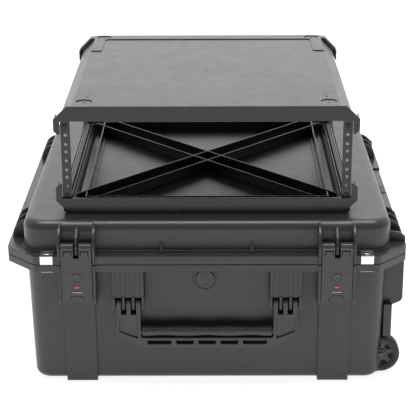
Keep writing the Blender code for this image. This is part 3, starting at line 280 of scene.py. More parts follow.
def camera():
    pitch, yaw, roll = (math.radians(a) for a in (CAMERA_PITCH, CAMERA_YAW, CAMERA_ROLL))
    ahead = Vector((math.sin(yaw) * math.cos(pitch), math.cos(yaw) * math.cos(pitch),
                    -math.sin(pitch)))
    level = Vector((math.cos(yaw), -math.sin(yaw), 0.0))
    up = level.cross(ahead)
    right = level * math.cos(roll) + up * math.sin(roll)
    top = up * math.cos(roll) - level * math.sin(roll)
    data = bpy.data.cameras.new("camera")
    data.lens = LENS
    data.sensor_width = SENSOR
    data.clip_end = 50.0
    obj = bpy.data.objects.new("camera", data)
    turn = Matrix((right, top, -ahead)).transposed().to_4x4()
    obj.matrix_world = Matrix.Translation(CAMERA_AT) @ turn
    bpy.context.scene.collection.objects.link(obj)
    bpy.context.scene.camera = obj


# ---- mesh helpers, in millimetres ----

def softened(bm, width, segments=2, least=25):
    """Rounds every edge that turns more than least degrees."""
    if width <= 0:
        return bm
    edges = [e for e in bm.edges if len(e.link_faces) == 2
             and e.calc_face_angle(0) > math.radians(least)]
    bmesh.ops.bevel(bm, geom=edges, offset=width, segments=segments, profile=0.5,
                    affect="EDGES", clamp_overlap=True)
    return bm


def block(low, high, width=0.8, segments=2):
    """Box between two corners, in any order, with rounded edges."""
    bm = bmesh.new()
    bmesh.ops.create_cube(bm, size=1)
    for vert in bm.verts:
        vert.co = Vector([(a + b) / 2 + abs(b - a) * c for a, b, c in zip(low, high, vert.co)])
    return softened(bm, width, segments)


def fillet(points, radius, steps=4):
    """Closed outline with its corners rounded. A point may carry a radius of its own."""
    loop = []
    count = len(points)
    for i, point in enumerate(points):
        here = Vector(point[:2])
        before = Vector(points[i - 1][:2]) - here
        after = Vector(points[(i + 1) % count][:2]) - here
        r = point[2] if len(point) > 2 else radius
        angle = before.angle(after)
        reach = min(r / math.tan(angle / 2), before.length * 0.49, after.length * 0.49)
        if reach < 0.02 or angle > math.radians(178):
            loop.append(tuple(here))
            continue
        r = reach * math.tan(angle / 2)
        centre = here + (before.normalized() + after.normalized()).normalized() * (
            r / math.sin(angle / 2))
        start = here + before.normalized() * reach - centre
        end = here + after.normalized() * reach - centre
        sweep = start.angle_signed(end)
        for k in range(steps + 1):
            turn = Matrix.Rotation(-sweep * k / steps, 2)
            loop.append(tuple(centre + turn @ start))
    return loop


UP = (0, 0, 1)
OUT = (0, -1, 0)          # towards the camera's side
AXES = {                  # outline u, v and thickness t to x, y, z
    "X": lambda u, v, t: (t, u, v),
    "Y": lambda u, v, t: (u, t, v),
    "Z": lambda u, v, t: (u, v, t),
}


def inset(loop, distance):
    """Outline moved inwards, to the left of its direction, by a distance."""
    result = []
    for i, here in enumerate(loop):
        here = Vector(here)
        before = (here - Vector(loop[i - 1])).normalized()
        after = (Vector(loop[(i + 1) % len(loop)]) - here).normalized()
        normal = (before + after).normalized().orthogonal()
        lean = max(normal.dot(before.orthogonal()), 0.4)
        result.append(tuple(here + normal * (distance / lean)))
    return result


def signed_area(loop):
    return sum(a[0] * b[1] - b[0] * a[1] for a, b in zip(loop, loop[1:] + loop[:1])) / 2


def pierced(loops, low, high, place, width):
    """Plate with holes: its first loop is the outline, and every rim is rounded by width."""
    loops = [loop if (signed_area(loop) > 0) == (i == 0) else loop[::-1]
             for i, loop in enumerate(loops)]
    low, high = sorted((low, high))
    width = min(width, (high - low) / 2.2)
    levels = [(low, width), (low + 0.3 * width, 0.3 * width), (low + width, 0),
              (high - width, 0), (high - 0.3 * width, 0.3 * width), (high, width)]
    if width <= 0:
        levels = [(low, 0), (high, 0)]
    bm = bmesh.new()
    rings = []
    for t, step in levels:
        stepped = [inset(loop, step) if step else loop for loop in loops]
        rings.append([[bm.verts.new(place(u, v, t)) for u, v in loop] for loop in stepped])
    for a, b in zip(rings, rings[1:]):
        for ring_a, ring_b in zip(a, b):
            for i in range(len(ring_a)):
                j = (i + 1) % len(ring_a)
                bm.faces.new([ring_a[i], ring_a[j], ring_b[j], ring_b[i]])
    for ring, (_, step) in ((rings[0], levels[0]), (rings[-1], levels[-1])):
        flat = [vert for loop in ring for vert in loop]
        stepped = [inset(loop, step) if step else loop for loop in loops]
        for face in tessellate_polygon([[Vector((u, v, 0)) for u, v in loop] for loop in stepped]):
            if len(set(face)) == 3:
                bm.faces.new([flat[i] for i in face])
    bmesh.ops.recalc_face_normals(bm, faces=bm.faces)
    return bm


def prism(outline, low, high, axis="Z", width=0.8, holes=(), segments=2):
    """Flat outline, with holes, between two planes on an axis, with rounded edges."""
    place = AXES[axis]
    loops = [[tuple(point[:2]) for point in loop] for loop in [outline, *holes]]
    if holes:
        return pierced(loops, low, high, place, width)
    bm = bmesh.new()
    rings = [[bm.verts.new(place(u, v, t)) for u, v in loops[0]] for t in (low, high)]
    bm.faces.new(rings[0])
    bm.faces.new(rings[1])
    for i in range(len(loops[0])):
        j = (i + 1) % len(loops[0])
        bm.faces.new([rings[0][i], rings[0][j], rings[1][j], rings[1][i]])
    bmesh.ops.recalc_face_normals(bm, faces=bm.faces)
    return softened(bm, width, segments)


def rod(start, end, radius, sides=32, width=0.4):
    """Round bar between two points."""
    a, b = Vector(start), Vector(end)
    turn = (b - a).to_track_quat("Z", "Y").to_matrix().to_4x4()
    bm = bmesh.new()
    bmesh.ops.create_cone(bm, cap_ends=True, segments=sides, radius1=radius, radius2=radius,
                          depth=(b - a).length)
    softened(bm, width)
    bm.transform(Matrix.Translation((a + b) / 2) @ turn)
    return bm


def lathe(profile, start, direction, sides=40, ring=False):
    """Closed body turned about an axis: profile holds (distance along the axis, radius). A ring's
    profile is closed on itself, so that its middle stays open."""
    turn = Vector(direction).to_track_quat("Z", "Y").to_matrix().to_4x4()
    loops = []
    for along, radius in profile:
        loops.append([(radius * math.cos(2 * math.pi * i / sides),
                       radius * math.sin(2 * math.pi * i / sides), along) for i in range(sides)])
    bm = lofted(loops, ring)
    bm.transform(Matrix.Translation(Vector(start)) @ turn)
    return bm


def lofted(loops, closed=False):
    """Skin over loops of equal count. Ends are capped, or the last loop joins the first."""
    bm = bmesh.new()
    rings = [[bm.verts.new(p) for p in loop] for loop in loops]
    count = len(rings[0])
    pairs = list(zip(rings, rings[1:]))
    if closed:
        pairs.append((rings[-1], rings[0]))
    for a, b in pairs:
        for i in range(count):
            j = (i + 1) % count
            bm.faces.new([a[i], a[j], b[j], b[i]])
    if not closed:
        bm.faces.new(rings[0])
        bm.faces.new(rings[-1])
    bmesh.ops.recalc_face_normals(bm, faces=bm.faces)
    return bm


def arc(centre, radius, start, end, steps, tall=1):
    """Points on an arc, in degrees, whose height is tall times a circle's."""
    angles = [math.radians(start + (end - start) * i / steps) for i in range(steps + 1)]
    return [(centre[0] + radius * math.cos(a), centre[1] + radius * tall * math.sin(a)) for a in angles]


def circle(centre, radius, steps=32):
    return arc(centre, radius, 0, 360, steps)[:-1]


def rounded_square(half, radius, steps=10, z=None):
    """Outline about the origin; with z, its points are in space."""
    loop = []
    radius = max(radius, 0.5)
    for quadrant, (sx, sy) in enumerate(((1, 1), (-1, 1), (-1, -1), (1, -1))):
        centre = (sx * (half - radius), sy * (half - radius))
        loop += arc(centre, radius, 90 * quadrant, 90 * quadrant + 90, steps)
    return loop if z is None else [(x, y, z) for x, y in loop]


def square_ring(section, half, radius, closed=True):
    """Body round the case: section holds (distance outside half, z) points."""
    return lofted([rounded_square(half + d, radius + d, z=z) for d, z in section], closed)


def flipped(outline, sign=-1):
    """Outline with its first coordinate multiplied by sign."""
    return [(sign * p[0],) + tuple(p[1:]) for p in outline]


def mirrored(half):
    """Whole outline from its right half."""
    return half + flipped(half)[::-1]


def rect(u0, v0, u1, v1):
    return [(u0, v0), (u1, v0), (u1, v1), (u0, v1)]


def placed(bm, matrix):
    bm.transform(matrix)
    return bm


def turned(bm, angle):
    """Turns a body about the vertical axis through the origin, in degrees."""
    return placed(bm, Matrix.Rotation(math.radians(angle), 4, "Z"))


def gathered(bodies):
    """One bmesh from several."""
    result = bmesh.new()
    for bm in bodies:
        mesh = bpy.data.meshes.new("part")
        bm.to_mesh(mesh)
        bm.free()
        result.from_mesh(mesh)
        bpy.data.meshes.remove(mesh)
    return result


def object_from(bm, name):
    """Object in metres, standing on its feet, from a bmesh in millimetres."""
    bm.transform(Matrix.Scale(MM, 4) @ Matrix.Translation((0, 0, LIFT)))
    mesh = bpy.data.meshes.new(name)
    bm.to_mesh(mesh)
    bm.free()
    obj = bpy.data.objects.new(name, mesh)
    bpy.context.scene.collection.objects.link(obj)
    return obj


def boolean(bm, tools, operation="DIFFERENCE"):
    """bm cut by, or joined with, each of the tools; all in millimetres."""
    obj = object_from(bm, "boolean")
    cutters = []
    for tool in tools:
        cutter = object_from(tool, "tool")
        modifier = obj.modifiers.new("boolean", "BOOLEAN")
        modifier.operation = operation
        modifier.solver = "EXACT"
        modifier.object = cutter
        cutters.append(cutter)
    depsgraph = bpy.context.evaluated_depsgraph_get()
    mesh = bpy.data.meshes.new_from_object(obj.evaluated_get(depsgraph))
    result = bmesh.new()
    result.from_mesh(mesh)
    result.transform(Matrix.Translation((0, 0, -LIFT)) @ Matrix.Scale(1 / MM, 4))
    for used in [obj] + cutters:
        bpy.data.objects.remove(used)
    return result


def piece(name, bodies, material, body, replaces=(), sharp=32):
    """Finished piece on a CAD body: mesh, material, smooth shading and what it replaces."""
    obj = object_from(gathered(bodies), name)
    obj.data.polygons.foreach_set("use_smooth", [True] * len(obj.data.polygons))
    obj.data.set_sharp_from_angle(angle=math.radians(sharp))
    obj.data.materials.append(material)
    weighted = obj.modifiers.new("weighted_normals", "WEIGHTED_NORMAL")
    weighted.keep_sharp = True
    weighted.weight = 80
    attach(obj, body)
    if replaces:
        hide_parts(*replaces)
    return obj


# ---- rack cage ----

CAGE_LOW, CAGE_HIGH = box_mm("cage_bottom_tray")[0], box_mm("cage_top_tray")[1]
CAGE_HALF = CAGE_HIGH.x
CAGE_FRONT, CAGE_BACK = CAGE_LOW.y, CAGE_HIGH.y
CAGE_Z, CAGE_TOP = CAGE_LOW.z, CAGE_HIGH.z
CHAMFER = 22.5
BEZEL = 5
REAR_CAP = 21
INSET = 9.5                # the trays' sides stand this far inside their bezels
BEAM = 26.8
TOP_BEAM = 25.4
EAR_X = 241.2
EAR_DEPTH = 34
EAR_CUT = 6
LOWER_EAR = box_mm("cage_bottom_tray")[1].z
UPPER_EAR = box_mm("cage_top_tray")[0].z
RELIEF = 1.5               # depth of the top panel's recess
SKIN = 3

PANEL_X = 199              # raised ends of the top panel, and their round seats
PANEL_FRONT = -218
PANEL_BACK = CAGE_BACK - 31
PAD_Y = CAGE_BACK - 123
SEAT_X = 202
SEAT_Y = (CAGE_FRONT + 30, CAGE_BACK - 17.5)
SEAT_R = 13.5
SLIT_Y = (-204, -163)
GATE_Y = -22

ARM_WIDTH = 39             # the bottom tray's X and the window under it
RIB = 2.4
RIB_TOP = 20
WINDOW_X = 200

RAIL_T = 2                 # rack rails, with the standard spacing of their holes
RAIL_IN = 224.8
RAIL_OUT = 240.4
HOLE_X = 232.55
RAIL_HOLE_R = 2.8
RACK_UNIT = 44.45
UNIT_HOLES = (6.35, 22.225, 38.1)
FIRST_UNIT_Z = 24.3


def mid(a, b):
    return (a + b) / 2


def tray_levels(up):
    """Heights of a tray's beam, of its ears' ends and of its outer face."""
    if up > 0:
        return CAGE_TOP - TOP_BEAM, UPPER_EAR, CAGE_TOP
    return CAGE_Z + BEAM, LOWER_EAR, CAGE_Z


def bezel(y0, y1, up):
    """End frame of a tray: its beam and the two ears beside the rack rails."""
    beam, end, edge = tray_levels(up)
    half = [(EAR_X, beam), (EAR_X, end), (EAR_X + 4, end), (CAGE_HALF, end + EAR_CUT * up),
            (CAGE_HALF, edge - up * CHAMFER), (CAGE_HALF - CHAMFER, edge)]
    return prism(fillet(mirrored(half), 1, 2), y0, y1, "Y", 0.7)


def ear_plates(y0, y1, up):
    """The ears' faces alone, where a tray's end has no separate bezel."""
    beam, end, _ = tray_levels(up)
    outline = fillet([(EAR_X, beam + up), (EAR_X, end), (EAR_X + 4, end),
                      (CAGE_HALF, end + EAR_CUT * up), (CAGE_HALF, beam + up)], 1, 2)
    return gathered([prism(flipped(outline, s), y0, y1, "Y", 0.7) for s in SIDES])


def ear_returns(up):
    """The ears' webs, which run back beside the rails at all four corners."""
    _, end, edge = tray_levels(up)
    return [block((side * (CAGE_HALF - 2.6), y0, end + EAR_CUT * up),
                  (side * CAGE_HALF, y1, edge - up * CHAMFER), 0.7)
            for side in SIDES
            for y0, y1 in ((CAGE_FRONT + 1, CAGE_FRONT + EAR_DEPTH), (CAGE_BACK - EAR_DEPTH, CAGE_BACK - 1))]


def top_tray():
    """Closed panel: bezel in front, wider cap behind, shallow recess and four round seats."""
    low, top = CAGE_TOP - TOP_BEAM, CAGE_TOP
    floor = top - RELIEF
    cap_front = CAGE_BACK - REAR_CAP
    h = CAGE_HALF - INSET
    slope = CHAMFER - 1
    flat = h - slope
    panel = mirrored([(flat, floor), (h, floor - slope), (h, low + 1), (h - SKIN, low + 1),
                      (h - SKIN, floor - slope - 1), (flat - 1, floor - SKIN)])
    bodies = [prism(panel, CAGE_FRONT + 2, CAGE_BACK - 2, "Y", 0.9), bezel(CAGE_FRONT, CAGE_FRONT + BEZEL, 1),
              ear_plates(CAGE_BACK - BEZEL, CAGE_BACK - 0.2, 1)]
    cap = [(1, 0), (1, CHAMFER), (CHAMFER, 1), (CHAMFER + 9, 1), (CHAMFER + 9, 4), (CHAMFER + 2, 4),
           (4, CHAMFER + 2), (4, 0)]
    for s in SIDES:
        shoulder = [(s * (CAGE_HALF - u), top - v if v else low) for u, v in cap]
        end_plate = [(CAGE_HALF - 1, low), (CAGE_HALF - 1, top - CHAMFER), (CAGE_HALF - CHAMFER, top - 1),
                     (flat, floor - 2), (h - 1, floor - slope), (h - 1, low)]
        bodies += [prism(shoulder, cap_front, CAGE_BACK, "Y", 0.8),
                   prism(flipped(end_plate, s), cap_front - 0.5, cap_front + 3.5, "Y", 0.6),
                   block((s * (PANEL_X + 0.2), SLIT_Y[0], floor - 0.5),
                         (s * (PANEL_X + 3.2), SLIT_Y[1], floor + 0.7), 0.4)]
    rear = [(PANEL_X, PANEL_BACK, 8), (PANEL_X, PAD_Y, 5), (flat, PAD_Y, 6), (flat, CAGE_BACK, 1)]
    front = [(flat, CAGE_FRONT + BEZEL - 1, 0), (flat, PANEL_FRONT, 4)]
    for half, y in ((rear, SEAT_Y[1]), (front, SEAT_Y[0])):
        bodies.append(prism(fillet(mirrored(half), 2), floor - 1, top, "Z", 0.5,
                            [circle((s * SEAT_X, y), SEAT_R, 40) for s in SIDES]))
        for s in SIDES:
            at = Vector((s * SEAT_X, y, floor))
            bodies += [lathe([(-0.3, 2.6), (0.6, 2.4), (0.9, 1.9)], at, UP, 20),
                       lathe([(-0.1, SEAT_R - 1.6), (0.25, SEAT_R - 2)], at, UP)]
    gate = (0, GATE_Y, floor)
    bodies += [lathe([(-0.05, 3.4), (0.2, 3)], gate, UP, 24), lathe([(-0.05, 1.4), (0.65, 1)], gate, UP, 16)]
    piece("cage_top_panel", bodies + ear_returns(1), CAGE, "cage", ["cage_top_tray"])


def cross_arm(sign):
    """Arm of the tray's X: a strip with an upright rib along each edge."""
    reach_x, reach_y = WINDOW_X + 7, mid(-CAGE_FRONT, CAGE_BACK) - 33
    angle = math.degrees(math.atan2(reach_y, sign * reach_x))
    length = math.hypot(reach_x, reach_y)
    half = ARM_WIDTH / 2
    low = CAGE_Z + 0.3 + 0.2 * sign
    bodies = [block((-length, -half, low), (length, half, low + 2.5), 0.5)]
    for s in SIDES:
        bodies.append(block((-length, s * half, low), (length, s * (half - RIB), CAGE_Z + RIB_TOP), 0.6))
    centre = Matrix.Translation((0, mid(CAGE_FRONT, CAGE_BACK), 0))
    return [placed(turned(bm, angle), centre) for bm in bodies]


def bottom_tray():
    """Open tray: chamfered sides, a floor with a ribbed window and the X across it."""
    low, top = CAGE_Z, CAGE_Z + BEAM
    h = CAGE_HALF - INSET
    slope = CHAMFER - 1
    y0, y1 = CAGE_FRONT, CAGE_BACK
    wall = [(h, top), (h, low + slope), (h - slope, low), (WINDOW_X - 1, low), (WINDOW_X - 1, low + 3),
            (h - slope - 1, low + 3), (h - SKIN, low + slope + 1), (h - SKIN, top)]
    lip = [(h + 3.5, top - 4), (h + 3.5, top), (h - 5, top), (h - 5, top - 2.6), (h + 1, top - 2.6),
           (h + 1, top - 4)]
    gusset = fillet([(h - 2, low + 2), (h - 2, top + 5), (h - 12, top - 3), (h - 12, low + 14),
                     (WINDOW_X + 4, low + 14), (WINDOW_X + 4, low + 2)], 2, 2)
    rib_z = (low + 0.5, low + RIB_TOP - 1)
    bodies = []
    for s in SIDES:
        x = s * (WINDOW_X + 4.8)
        bodies += [prism(flipped(wall, s), y0 + 2, y1 - 2, "Y", 0.7),
                   prism(flipped(lip, s), y0 + 4, y1 - 4, "Y", 0.5),
                   block((s * (h - 14), y0 + 44, low + 3), (s * (h - 11.6), y1 - 44, low + 19), 0.7),
                   prism(flipped(gusset, s), y0 + 4, y0 + 38, "Y", 0.6),
                   prism(flipped(gusset, s), y1 - 38, y1 - 4, "Y", 0.6),
                   block((x - RIB / 2, y0 + 34, rib_z[0]), (x + RIB / 2, y1 - 34, rib_z[1]), 0.6)]
    for a, b in ((y0 + 2, y0 + 41), (y1 - 41, y1 - 2)):
        bodies.append(block((-h + slope, a, low), (h - slope, b, low + 3), 0.6))
    for y in (y0 + 34, y1 - 34):
        bodies.append(block((-WINDOW_X - 6, y - RIB / 2, rib_z[0]), (WINDOW_X + 6, y + RIB / 2, rib_z[1]),
                            0.6))
    bodies += cross_arm(1) + cross_arm(-1)
    bodies += [bezel(y0, y0 + BEZEL, -1), bezel(y1 - BEZEL, y1, -1)] + ear_returns(-1)
    piece("cage_bottom_frame", bodies, CAGE, "cage", ["cage_bottom_tray"])


def rack_rails():
    """Angle rails with nine round holes, and a screw head at each end."""
    screws = []
    heights = [CAGE_Z + FIRST_UNIT_Z + u * RACK_UNIT + h for u in range(3) for h in UNIT_HOLES]
    for row, depth in (("front", 1), ("rear", -1)):
        for side in SIDES:
            node = "rail_%s_%s" % (row, LABELS[side])
            low, high = box_mm(node)
            face = low.y if depth > 0 else high.y
            web = rect(side * RAIL_IN, low.z, side * RAIL_OUT, high.z)
            holes = [circle((side * HOLE_X, z), RAIL_HOLE_R, 24) for z in heights]
            bodies = [prism(fillet(web, 0.6, 2), face, face + depth * RAIL_T, "Y", 0.3, holes),
                      block((side * (RAIL_OUT - RAIL_T), face + depth * 0.4, low.z),
                            (side * RAIL_OUT, face + depth * 24, high.z), 0.4)]
            piece("rack_" + node, bodies, RAIL, "cage", [node])
            for z in (heights[0], heights[-1]):
                screws.append(lathe([(-2.5, 2.6), (0, 4.3), (1, 4.2), (1.7, 3.4), (1.9, 1.7), (0.9, 1.6),
                                     (0.8, 0.4)], (side * HOLE_X, face, z), (0, -depth, 0), 24))
    piece("rail_screws", screws, BLACK_SCREW, "cage")


# ---- case shells ----

FLANGE_X = box_mm("base_shell")[1].x
FLANGE_Y = 331
LID_FLANGE_BACK = 329
CORNER_CUT = 50
SEAM_Z = 222
BASE_FLANGE = (209, 221.6)
LID_FLANGE = (222.4, 236.5)
LID_TOP = box_mm("lid_shell")[1].z
LID_HALF = 307
BASE_TOP_HALF = 303.5
BASE_BOTTOM_HALF = 298
BASE_BOTTOM_Z = -5
WALL = 4
CORNER = 34
BASE_FILLET = 13
LID_FILLET = 16
LATCH_X = 215
FIN = 5
FIN_X = (26, 31)       # guard fins, from a latch's middle
NOTCH_Y = 320.5
FIN_FRONT = 335
HINGE_Y = 331
PADLOCK_Y = 320
PADLOCK_R = 4.8
PLATE_T = 1.6
HOLE_SHADE_R = 2.2
END_FIN_Y = (177, 208.5, 240)
GUARD_Y = 262
PILLAR_X = (189, 241.5)
PILLAR_FRONT = 306.5
BASE_HINGE_GAP = 11        # half width of the flange's notches at the hinges
LID_HINGE_GAP = 32
TOW_NOTCH = 118
TOW_NOTCH_X = 316.5
POCKET_X = 264
POCKET_Y = (214.7, 282)
POCKET_TOP = 66.8
VALVE_X, VALVE_Y, VALVE_Z = -3, -306, 185
MOUNT_RIBS = 6
MOUNT_RIB = 5.4
LUG = 4
KNUCKLE_GAP = 2.6
FRONT_HANDLE = {"mount_x": (105, 158), "wall": 303, "pin_y": 318, "pin_z": 148,
                "radius": 7, "shoulder_z": 129, "corner_z": 93, "corner_x": 115,
                "bottom_z": 68, "grip_half": 109.5, "grip_z": 96, "grip_r": 9.5,
                "turn": 0}
SIDE_HANDLE = {"mount_x": (68, 110), "wall": 303, "pin_y": 312.6, "pin_z": 148,
               "radius": 5.5, "shoulder_z": 133, "corner_z": 104, "corner_x": 80,
               "bottom_z": 84, "grip_half": 72.5, "grip_z": 107, "grip_r": 7,
               "turn": -90}


def flange_outline(back, notch_depth):
    """Rim seen from above: cut corners, notches behind the latches and for the tow handle."""
    hx, hy, c = FLANGE_X, FLANGE_Y, CORNER_CUT
    outline = [(-hx, -hy + c, 10), (-hx + c, -hy, 10)]
    for s in SIDES:
        x0, x1 = s * LATCH_X - FIN_X[0], s * LATCH_X + FIN_X[0]
        outline += [(x0, -hy, 0.6), (x0, -notch_depth, 0.6), (x1, -notch_depth, 0.6), (x1, -hy, 0.6)]
    outline += [(hx - c, -hy, 10), (hx, -hy + c, 10), (hx, -TOW_NOTCH, 2), (TOW_NOTCH_X, -TOW_NOTCH, 2),
                (TOW_NOTCH_X, TOW_NOTCH, 2), (hx, TOW_NOTCH, 2), (hx, back - c, 10), (hx - c, back, 10)]
    half = LID_HINGE_GAP if back < FLANGE_Y else BASE_HINGE_GAP
    for x in (LATCH_X, -LATCH_X):
        outline += [(x + half, back, 0.6), (x + half, HINGE_Y - 8, 0.6), (x - half, HINGE_Y - 8, 0.6),
                    (x - half, back, 0.6)]
    return fillet(outline + [(-hx + c, back, 10), (-hx, back - c, 10)], 1, 5)


def bottom_section():
    """Base wall from inside to outside: (half, z) points, with a round bottom edge."""
    outer = [(BASE_TOP_HALF, SEAM_Z - 0.3)]
    slope = (BASE_TOP_HALF - BASE_BOTTOM_HALF) / (SEAM_Z - BASE_BOTTOM_Z)
    for z in (170, 120, 70):
        outer.append((BASE_BOTTOM_HALF + slope * (z - BASE_BOTTOM_Z), z))
    centre = (BASE_BOTTOM_HALF - BASE_FILLET, BASE_BOTTOM_Z + BASE_FILLET)
    outer += arc(centre, BASE_FILLET, 0, -90, 9)
    inner = [(h - WALL, max(z, BASE_BOTTOM_Z + WALL)) for h, z in outer[:4]]
    inner += arc(centre, BASE_FILLET - WALL, 0, -90, 7)
    return inner[::-1] + outer


def tub(section, outer_half):
    """Closed moulding from a section of (half, z) points that starts and ends at its middle."""
    loops = [rounded_square(half, CORNER - (outer_half - half), 12, z) for half, z in section]
    return lofted(loops)


def base_tub():
    """Lower moulding, with a lined pocket for each wheel."""
    lining = [block((POCKET_X - 3, s * (POCKET_Y[0] - 3), 1),
                    (BASE_BOTTOM_HALF - 2, s * (POCKET_Y[1] + 3), POCKET_TOP + 3), 2, 3) for s in SIDES]
    pockets = [block((POCKET_X, s * POCKET_Y[0], -22), (345, s * POCKET_Y[1], POCKET_TOP), 3, 3)
               for s in SIDES]
    return boolean(boolean(tub(bottom_section(), BASE_TOP_HALF), lining, "UNION"), pockets)


def handle_mount(spec, side):
    """Mount moulded on the wall: a ribbed face and four lugs."""
    low_x, high_x = spec["mount_x"]
    pin_y, pin_z, r = spec["pin_y"], spec["pin_z"], spec["radius"]
    back, front = -spec["wall"] + 3, -pin_y - r - 1
    top, shoulder, low = BASE_FLANGE[0] + 1, pin_z + r + 5.5, pin_z - r - 5
    bodies = [block((side * low_x, front + 0.9, shoulder), (side * high_x, back, top), 0.7)]
    pitch = (high_x - low_x - MOUNT_RIB) / MOUNT_RIBS
    for i in range(MOUNT_RIBS + 1):
        x = low_x + i * pitch
        bodies.append(block((side * x, front, shoulder - 0.2), (side * (x + MOUNT_RIB), back, top), 0.9))
    lug = fillet([(back, low + 6), (front + 4, low, 2), (front, low + 3, 2), (front, shoulder + 3),
                  (back, shoulder + 3)], 0.5, 3)
    return bodies + [prism(lug, side * a, side * b, "X", 0.5) for a, b in lug_spans(spec)]


def lug_spans(spec):
    low_x, high_x = spec["mount_x"]
    pitch = (high_x - low_x - LUG) / 3
    return [(low_x + i * pitch, low_x + i * pitch + LUG) for i in range(4)]


def fin_at(middle, outline, axis, width, segments=2):
    return prism(outline, middle - FIN / 2, middle + FIN / 2, axis, width, segments=segments)


def base_fins():
    """Guards beside the latches, at the ends and behind the wheels."""
    bodies = []
    top = BASE_FLANGE[1] - 0.5
    fin = fillet([(-300.5, top), (-FIN_FRONT, top, 0.5), (-FIN_FRONT, 155, 8), (-FIN_FRONT + 10, 145, 4),
                  (-302, 145)], 1, 4)
    gusset = [(-300.5, 212), (-329, 212, 1)] + arc((-303, 209), 26, 180, 270, 8) + [(-300.5, 183)]
    guard = fillet([(300, top), (FLANGE_X, top, 1), (FLANGE_X, 127, 10), (FLANGE_X - 18, 119, 4),
                    (FLANGE_X - 20, 112, 1), (300, 112)], 1, 4)
    for s in SIDES:
        bodies += guard_fins(fin, s * LATCH_X, 1.9) + [fin_at(s * GUARD_Y, guard, "Y", 1)]
        bodies += [fin_at(s * y, gusset, "Y", 0.8) for y in (END_FIN_Y[0], END_FIN_Y[2])]
    return bodies


def guard_fins(outline, x, width):
    """The pair of fins that guard a latch."""
    return [prism(outline, x + s * FIN_X[0], x + s * FIN_X[1], "X", width, segments=4) for s in SIDES]


def pillars():
    """Raised strips below the latches, which run under the case as feet."""
    outline = fillet([(-298, 158), (-PILLAR_FRONT + 0.8, 150, 3), (-PILLAR_FRONT + 2.5, 24, 12),
                      (-PILLAR_FRONT + 3.5, FOOT_Z, 4), (-225, FOOT_Z, 3), (-225, -2), (-284, -2, 6),
                      (-291, 12)], 1, 5)
    return [prism(flipped(outline, end), s * PILLAR_X[0], s * PILLAR_X[1], "X", 1.2, segments=3)
            for s in SIDES for end in SIDES]


def knuckle(x, start, end, side):
    """Hinge knuckle with its bracket, on the base (side -1) or the lid (side 1)."""
    near, far = HINGE_Y - 6, HINGE_Y + 6
    wall = 301.5 if side < 0 else 305
    barrel = arc((HINGE_Y, SEAM_Z), 6, 0, side * -180, 14)
    outline = [(far, SEAM_Z)] + barrel[1:-1] + [(near, SEAM_Z), (near, SEAM_Z + side * 4),
               (wall, SEAM_Z + side * 4), (wall, SEAM_Z + side * 16), (near, SEAM_Z + side * 16),
               (far, SEAM_Z + side * 5)]
    return prism(outline, x + start, x + end, "X", 0.5)


def base_shell():
    inner = rounded_square(BASE_TOP_HALF - 2.5, CORNER - 2.5, 12)
    bodies = [base_tub(), prism(flange_outline(FLANGE_Y, NOTCH_Y), *BASE_FLANGE, "Z", 0.9, [inner])]
    low, high = BASE_FLANGE[0] - 5, BASE_FLANGE[0] + 1
    bodies.append(square_ring([(-1, low), (3, low), (3, high - 0.6), (2.4, high), (-1, high)],
                              BASE_TOP_HALF, CORNER))
    bodies += base_fins() + pillars()
    for spec in (FRONT_HANDLE, SIDE_HANDLE):
        for side in SIDES:
            bodies += [turned(bm, spec["turn"]) for bm in handle_mount(spec, side)]
    for s in SIDES:
        bodies += [knuckle(s * LATCH_X, -31, -11, -1), knuckle(s * LATCH_X, 11, 31, -1)]
    bodies.append(lathe([(0, 21.5), (1, 21.5), (1.6, 20.9), (1.6, 18.6), (0.2, 18.3)],
                        (VALVE_X, -BASE_TOP_HALF + 1.4, VALVE_Z), OUT, 48))
    rib = fillet([(301, 190), (301, 210), (325, 210), (325, 205, 4)], 1, 3)
    bodies += [fin_at(x, rib, "X", 0.8) for x in (-120, 0, 120)]
    piece("case_base", bodies, SHELL, "base", ["base_shell"])


def lid_section():
    """Lid wall from inside to outside: (half, z) points, with a round top edge."""
    centre = (LID_HALF - LID_FILLET, LID_TOP - LID_FILLET)
    loops = [[(LID_HALF - t, SEAM_Z + 0.3), (LID_HALF - t, 250)] + arc(centre, LID_FILLET - t, 0, 90, steps)
             for t, steps in ((WALL, 7), (0, 9))]
    return loops[0][::-1] + loops[1]


def latch_bay(s):
    """Raised pad that runs over the lid's edge between a latch's guard fins, and its rib."""
    x = s * LATCH_X
    pad = [(-276, LID_TOP - 1), (-278.5, LID_TOP + 0.2)]
    pad += arc((-292, LID_TOP - 17.7), 18.5, 90, 180, 8, 18 / 18.5)
    pad += [(-311, 262), (-312.5, 258.5), (-312.5, 240), (-300, 234), (-300, 262)]
    fin = [(-277, LID_TOP - 1.5), (-279, LID_TOP - 0.1), (-290, LID_TOP - 0.2)]
    fin += arc((-300, 250), 35, 90, 180, 10, 33.5 / 35)[1:]
    fin += [(-FIN_FRONT, LID_FLANGE[0] + 0.5), (-303, LID_FLANGE[0] + 0.5), (-303, 268)]
    rib = fillet([(-305, 281, 2), (-314, 277, 6), (-327, 266, 8), (-331, 252, 6), (-331, 238, 3),
                  (-324, 234, 3), (-305, 234)], 1, 5)
    return [prism(pad, x - FIN_X[0] - 0.5, x + FIN_X[0] + 0.5, "X", 0.8), *guard_fins(fin, x, 2),
            fin_at(x, rib, "X", 2, 4)]


